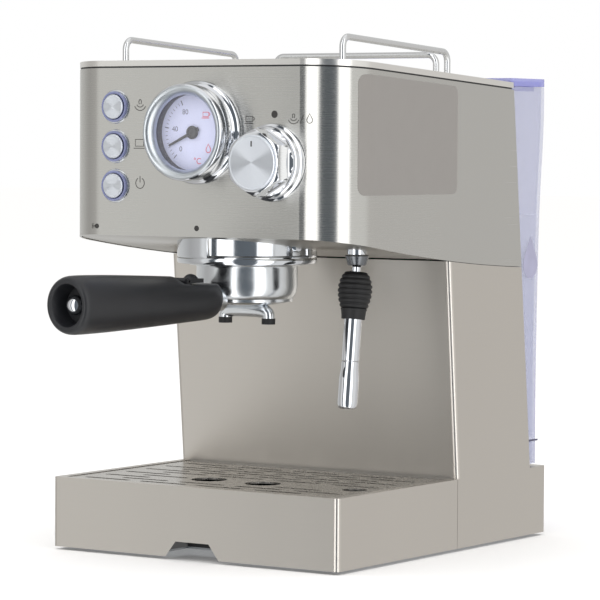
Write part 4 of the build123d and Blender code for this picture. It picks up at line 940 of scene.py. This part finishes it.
def leaning_box(middle, along_axis, across, up):
    """A box that lies along the handle, from its middle and its three sizes."""
    points = []
    for a in (-0.5, 0.5):
        for b in (-0.5, 0.5):
            for c in (-0.5, 0.5):
                level = HANDLE_AXIS * a * along_axis + HANDLE_SIDE * b * across
                points.append(middle + level + Vector((0, 0, c * up)))
    return points, [(0, 1, 3, 2), (4, 6, 7, 5), (0, 4, 5, 1), (2, 3, 7, 6), (0, 2, 6, 4), (1, 5, 7, 3)]


EAR_REACH, EAR_SIDE, EAR_RISE = 62.0, 7.15, 10.4  # middle of an ear that holds the clip's pin
ears = []
for sign in (-1, 1):
    foot = Vector((0, GROUP_Y, HANDLE_Z)) + HANDLE_AXIS * EAR_REACH + HANDLE_SIDE * sign * EAR_SIDE
    ears.append(leaning_box(foot + Vector((0, 0, EAR_RISE)), 4.0, 1.6, 4.6))
grip_mesh = joined([(grip_points, grip_faces), *ears])
piece("handle_grip", *grip_mesh, HANDLE, "portafilter", "handle_black", ["portafilter_handle"])
print("handle with", len(grip_line), "stations")

# %% [markdown]
# ## Bowl and spout
# The bowl is pressed and polished, with a rolled ring on top and a domed foot. Below it
# an arch of tube feeds two short outlets, and each ends in a black tip.

# %% Polished bowl
UP = (0, 0, 1)
GROUP = (0.0, GROUP_Y, 0.0)
bowl_line = [(28.3, 186.0), (35.7, 186.0), (35.7, 177.8), (35.1, 177.1), (31.4, 176.6), (31.0, 175.6)]
bowl_line += [(31.0, 164.0), (30.3, 160.0), (28.2, 156.6), (24.0, 154.2), (16.0, 152.7), (8.0, 152.1)]
bowl_line += [(3.0, 152.05), (3.0, 155.0), (28.3, 155.0)]


def block_round(r0, r1, z0, z1, middle, half, steps=12):
    """Part of a ring round the group's axis, between two radii and two heights."""
    points, faces = [], []
    for i in range(steps + 1):
        t = math.radians(middle - half + 2 * half * i / steps)
        for r, z in ((r0, z0), (r1, z0), (r1, z1), (r0, z1)):
            points.append((r * math.cos(t), GROUP_Y + r * math.sin(t), z))
        if i < steps:
            a, b = 4 * i, 4 * i + 4
            faces += [(a + k, a + (k + 1) % 4, b + (k + 1) % 4, b + k) for k in range(4)]
    last = 4 * steps
    return points, [*faces, (0, 1, 2, 3), (last + 3, last + 2, last + 1, last)]


neck_base = Vector((0, GROUP_Y, HANDLE_Z)) + HANDLE_AXIS * 26
neck_line = [(0, 0), (8.0, 0), (8.0, 8.0), (6.0, 9.4), (0, 9.4)]
LUG_R, LUG_Z, LUG_HALF = (32.0, 38.0), (182.5, 185.5), 18.0
LUG_TURN = math.degrees(HANDLE_TURN)
lugs = [block_round(*LUG_R, *LUG_Z, turn, LUG_HALF) for turn in (LUG_TURN, LUG_TURN - 180)]
bowl = joined([turned(bowl_line, GROUP, UP, 128), turned(neck_line, neck_base, HANDLE_AXIS, 48), *lugs])
piece("bowl_shape", *bowl, CHROME_SATIN, "portafilter", "chrome", ["portafilter_body"])


# %% Spout arch
def tube(path, radii, steps=28):
    """A closed tube along a path of (x, z) points in the plane through the group's axis."""
    points, faces = [], []
    for i, (x, z) in enumerate(path):
        before, after = path[max(i - 1, 0)], path[min(i + 1, len(path) - 1)]
        run = Vector((after[0] - before[0], 0, after[1] - before[1])).normalized()
        side = Vector((-run.z, 0, run.x))
        for k in range(steps):
            t = 2 * math.pi * k / steps
            reach = side * math.cos(t) + Vector((0, 1, 0)) * math.sin(t)
            points.append(Vector((x, GROUP_Y, z)) + reach * radii[i])
    for i in range(len(path) - 1):
        for k in range(steps):
            a, b = i * steps + k, i * steps + (k + 1) % steps
            faces.append((a, b, b + steps, a + steps))
    last = (len(path) - 1) * steps
    faces += [list(range(steps)), list(range(last, last + steps))]
    return points, faces


half_arch = [(16.0, 144.2), (16.0, 146.2), (15.4, 147.6), (13.6, 148.7), (10.0, 149.2), (5.0, 149.4)]
arch = [(-x, z) for x, z in half_arch] + [(0.0, 149.4)] + half_arch[::-1]
girth = [3.9, 3.9, 4.0, 4.2, 4.3, 4.3]
girths = smooth_line([(g,) for g in [*girth, 4.3, *girth[::-1]]], 4)
spout = tube(smooth_line(arch, 4), [r for r, in girths])
piece("spout_arch", *spout, CHROME_SATIN, "portafilter", "chrome", ["spout"])
print("bowl and spout made")

# %% [markdown]
# ## The group's collar
# The cast collar that takes the bayonet is chromed. Its lip is rounded, and above the lip
# its wall is sunk a little on two sides between broad blocks.

# %% Collar
COLLAR_LINE = [(38.8, 198.9), (38.8, 196.6), (42.2, 196.4), (42.9, 195.6), (42.9, 195.0), (42.9, 183.6)]
COLLAR_LINE += [(42.9, 182.6), (42.6, 181.9), (42.9, 181.2), (42.9, 179.2), (42.4, 178.3), (41.4, 178.0)]
COLLAR_LINE += [(36.3, 178.0), (36.3, 182.0), (38.4, 182.0), (38.4, 198.9)]
SUNK, SUNK_FROM, SUNK_TO, SUNK_Z = 2.2, 0.0, 98.0, (182.7, 195.2)


def sunk_share(azimuth):
    """1 inside the sunk part of the wall, 0 outside, with a soft step; azimuth from the front."""
    a = azimuth % 180
    edge = min(a - SUNK_FROM, SUNK_TO - a) / 2.5
    return min(max(edge, 0.0), 1.0)


collar_points, collar_faces, COLLAR_STEPS = [], [], 288
for i in range(COLLAR_STEPS):
    azimuth = 360 * i / COLLAR_STEPS
    t = math.radians(azimuth - 90)
    for r, z in COLLAR_LINE:
        if SUNK_Z[0] < z < SUNK_Z[1] and r > 42:
            r -= SUNK * sunk_share(azimuth)
        collar_points.append((r * math.cos(t), GROUP_Y + r * math.sin(t), z))
    for k in range(len(COLLAR_LINE)):
        n = (k + 1) % len(COLLAR_LINE)
        a, b = i * len(COLLAR_LINE), (i + 1) % COLLAR_STEPS * len(COLLAR_LINE)
        collar_faces.append((a + k, a + n, b + n, b + k))
boss_turn = math.radians(82 - 90)
boss_axis = (math.cos(boss_turn), math.sin(boss_turn), 0)
boss_base = (40.0 * math.cos(boss_turn), GROUP_Y + 40.0 * math.sin(boss_turn), 189.0)
boss_line = [(0, 0), (3.4, 0), (3.4, 1.6), (2.8, 2.3), (0, 2.5)]
collar = joined([(collar_points, collar_faces), turned(boss_line, boss_base, boss_axis, 32)])
piece("collar_shape", *collar, CHROME_SOFT, "machine", "chrome", ["group_collar"])
print("collar made")

# %% [markdown]
# ## The steam wand
# A ribbed rubber grip keeps fingers off the hot pipe. The ribs are rounded and even, and
# the neck under them narrows to the pipe. The froth sleeve starts as wide as the pipe,
# swells a third of the way down and ends in a rounded mouth.

# %% Ribbed grip
WAND_BALL = (77.0, 62.0, 181.0)
LEAN = math.radians(6.5)
WAND_AXIS = (0, -math.sin(LEAN), -math.cos(LEAN))
GRIP_SHAPE = [(6.5, 6.2), (8.0, 7.8), (11.0, 9.4), (15.0, 10.3), (19.0, 10.4), (23.0, 9.9)]
GRIP_SHAPE += [(27.0, 8.7), (30.0, 7.6), (33.0, 7.2), (35.0, 7.1)]
RIBS, RIB_FROM, RIB_TO, RIB_DEPTH = 7, 7.4, 28.6, 0.75


def grip_radius(d):
    for (d0, r0), (d1, r1) in zip(GRIP_SHAPE, GRIP_SHAPE[1:]):
        if d <= d1:
            return r0 + (r1 - r0) * (d - d0) / (d1 - d0)
    return GRIP_SHAPE[-1][1]


ribbed = [(2.7, 6.5), (5.4, 6.5)]
for i in range(1, 96):
    d = 6.5 + 28.5 * i / 96
    groove = 0.0
    if RIB_FROM < d < RIB_TO:
        phase = (d - RIB_FROM) / (RIB_TO - RIB_FROM) * RIBS
        groove = RIB_DEPTH * (0.5 + 0.5 * math.cos(2 * math.pi * phase)) ** 2
    ribbed.append((grip_radius(d) - groove, d))
ribbed += [(7.1, 34.9), (6.8, 35.0), (5.5, 35.0), (5.5, 33.9), (2.7, 33.9)]
grip_turned = turned(ribbed, WAND_BALL, WAND_AXIS, 72)
piece("grip_ribs", *grip_turned, RUBBER, "steam_wand", "black_rubber", ["wand_grip"])

# %% Froth sleeve and nut
sleeve_line = [(5.0, 60.3), (5.35, 60.6), (5.4, 61.4), (5.4, 64.0), (5.55, 66.0), (6.0, 69.5), (6.1, 72.0)]
sleeve_line += [(6.1, 84.0), (5.95, 86.2), (5.4, 88.0), (4.4, 88.95)]
sleeve_line = [*smooth_line(sleeve_line, 3), (1.6, 88.95), (1.5, 82.1), (3.6, 82.0), (3.6, 60.3)]
sleeve_turned = turned(sleeve_line, WAND_BALL, WAND_AXIS, 72)
piece("froth_sleeve_shape", *sleeve_turned, CHROME, "sleeve", "chrome", ["froth_sleeve"])
nut_line = [(4.7, 3.6), (6.9, 3.7), (7.2, 3.0), (5.9, -1.8), (5.3, -2.5), (4.0, -2.5)]
piece("nut_cone", *turned(nut_line, WAND_BALL, UP, 64), NUT_GREY, "wand_swivel", "grey_plastic", ["wand_nut"])
print("wand dressed with", RIBS, "ribs")

# %% [markdown]
# ## Lit buttons
# Every cap sits in a smoked ring, and a thin bright flange closes the ring off from the
# sheet.

# %% Button rings
BUTTON_X, BUTTON_HEIGHTS = -61.5, (273.0, 249.0, 225.0)
RING_PROUD = PANEL - (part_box("button_rings")[0].y - FRONT) / MM
smoked = [(7.7, 0.05), (9.35, 0.05), (9.35, RING_PROUD - 0.35), (8.9, RING_PROUD), (8.1, RING_PROUD - 0.1)]
smoked.append((7.7, RING_PROUD - 0.5))
flange = [(9.4, 0.0), (10.3, 0.0), (10.3, 0.25), (9.9, 0.6), (9.4, 0.65)]
for shape, name, look, slot, covers in (
    (smoked, "button_smoked_rings", RING_BLUE, "lit_ring", ["button_rings"]),
    (flange, "button_flanges", CHROME_SATIN, "lit_ring", ()),
):
    rings = joined([turned(shape, (BUTTON_X, PANEL, z), FORWARD, 72) for z in BUTTON_HEIGHTS])
    piece(name, *rings, look, "machine", slot, covers)
print("rings stand", round(RING_PROUD, 2), "mm proud")

# %% [markdown]
# ## Tank and grid
# The tank carries a frosted drop sign and a moulded line near its foot. A raised rim
# frames each of the two round drain holes in the grid.

# %% Signs on the tank
TANK_SIDE = 102.5


def on_tank(y, z, lift):
    return (TANK_SIDE + lift, y, z)


def filled(line, place, lift):
    """A thin closed plate with the outline of a line."""
    count = len(line)
    points = [place(a, b, h) for h in (lift, lift + MARK_THICK) for a, b in line]
    rim = [(i, (i + 1) % count, count + (i + 1) % count, count + i) for i in range(count)]
    return points, [*rim, list(range(count)), list(range(count, 2 * count))]


tank_line = [(212.0, 62.0), (239.0, 62.0)]
piece("tank_line", *ribbon(tank_line, 1.2, on_tank, 0.03), DIAL_INK, "water_tank", "grey_plastic")
sign = filled(drop_line(227.5, 178.0, 18.0, 24.0), on_tank, 0.03)
piece("tank_drop", *sign, FROST, "water_tank", "grey_plastic")

# %% Rims of the grid's holes
DRAIN_X, DRAIN_Y = 20, 46.5
GRID_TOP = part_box("drip_grid")[1].z / MM
rim_line = [(11.0, -0.7), (12.6, -0.7), (12.5, -0.25), (11.9, 0.0), (11.2, -0.1)]
rims = joined([turned(rim_line, (x, DRAIN_Y, GRID_TOP), UP, 48) for x in (-DRAIN_X, DRAIN_X)])
piece("grid_hole_rims", *rims, PRESSED, "grid", "grid_steel")
print("tank signed and the grid's holes rimmed")

# %% [markdown]
# ## The view
# The picture is shown through the standard view transform.


# %% The view transform
bpy.context.scene.view_settings.view_transform = "Standard"
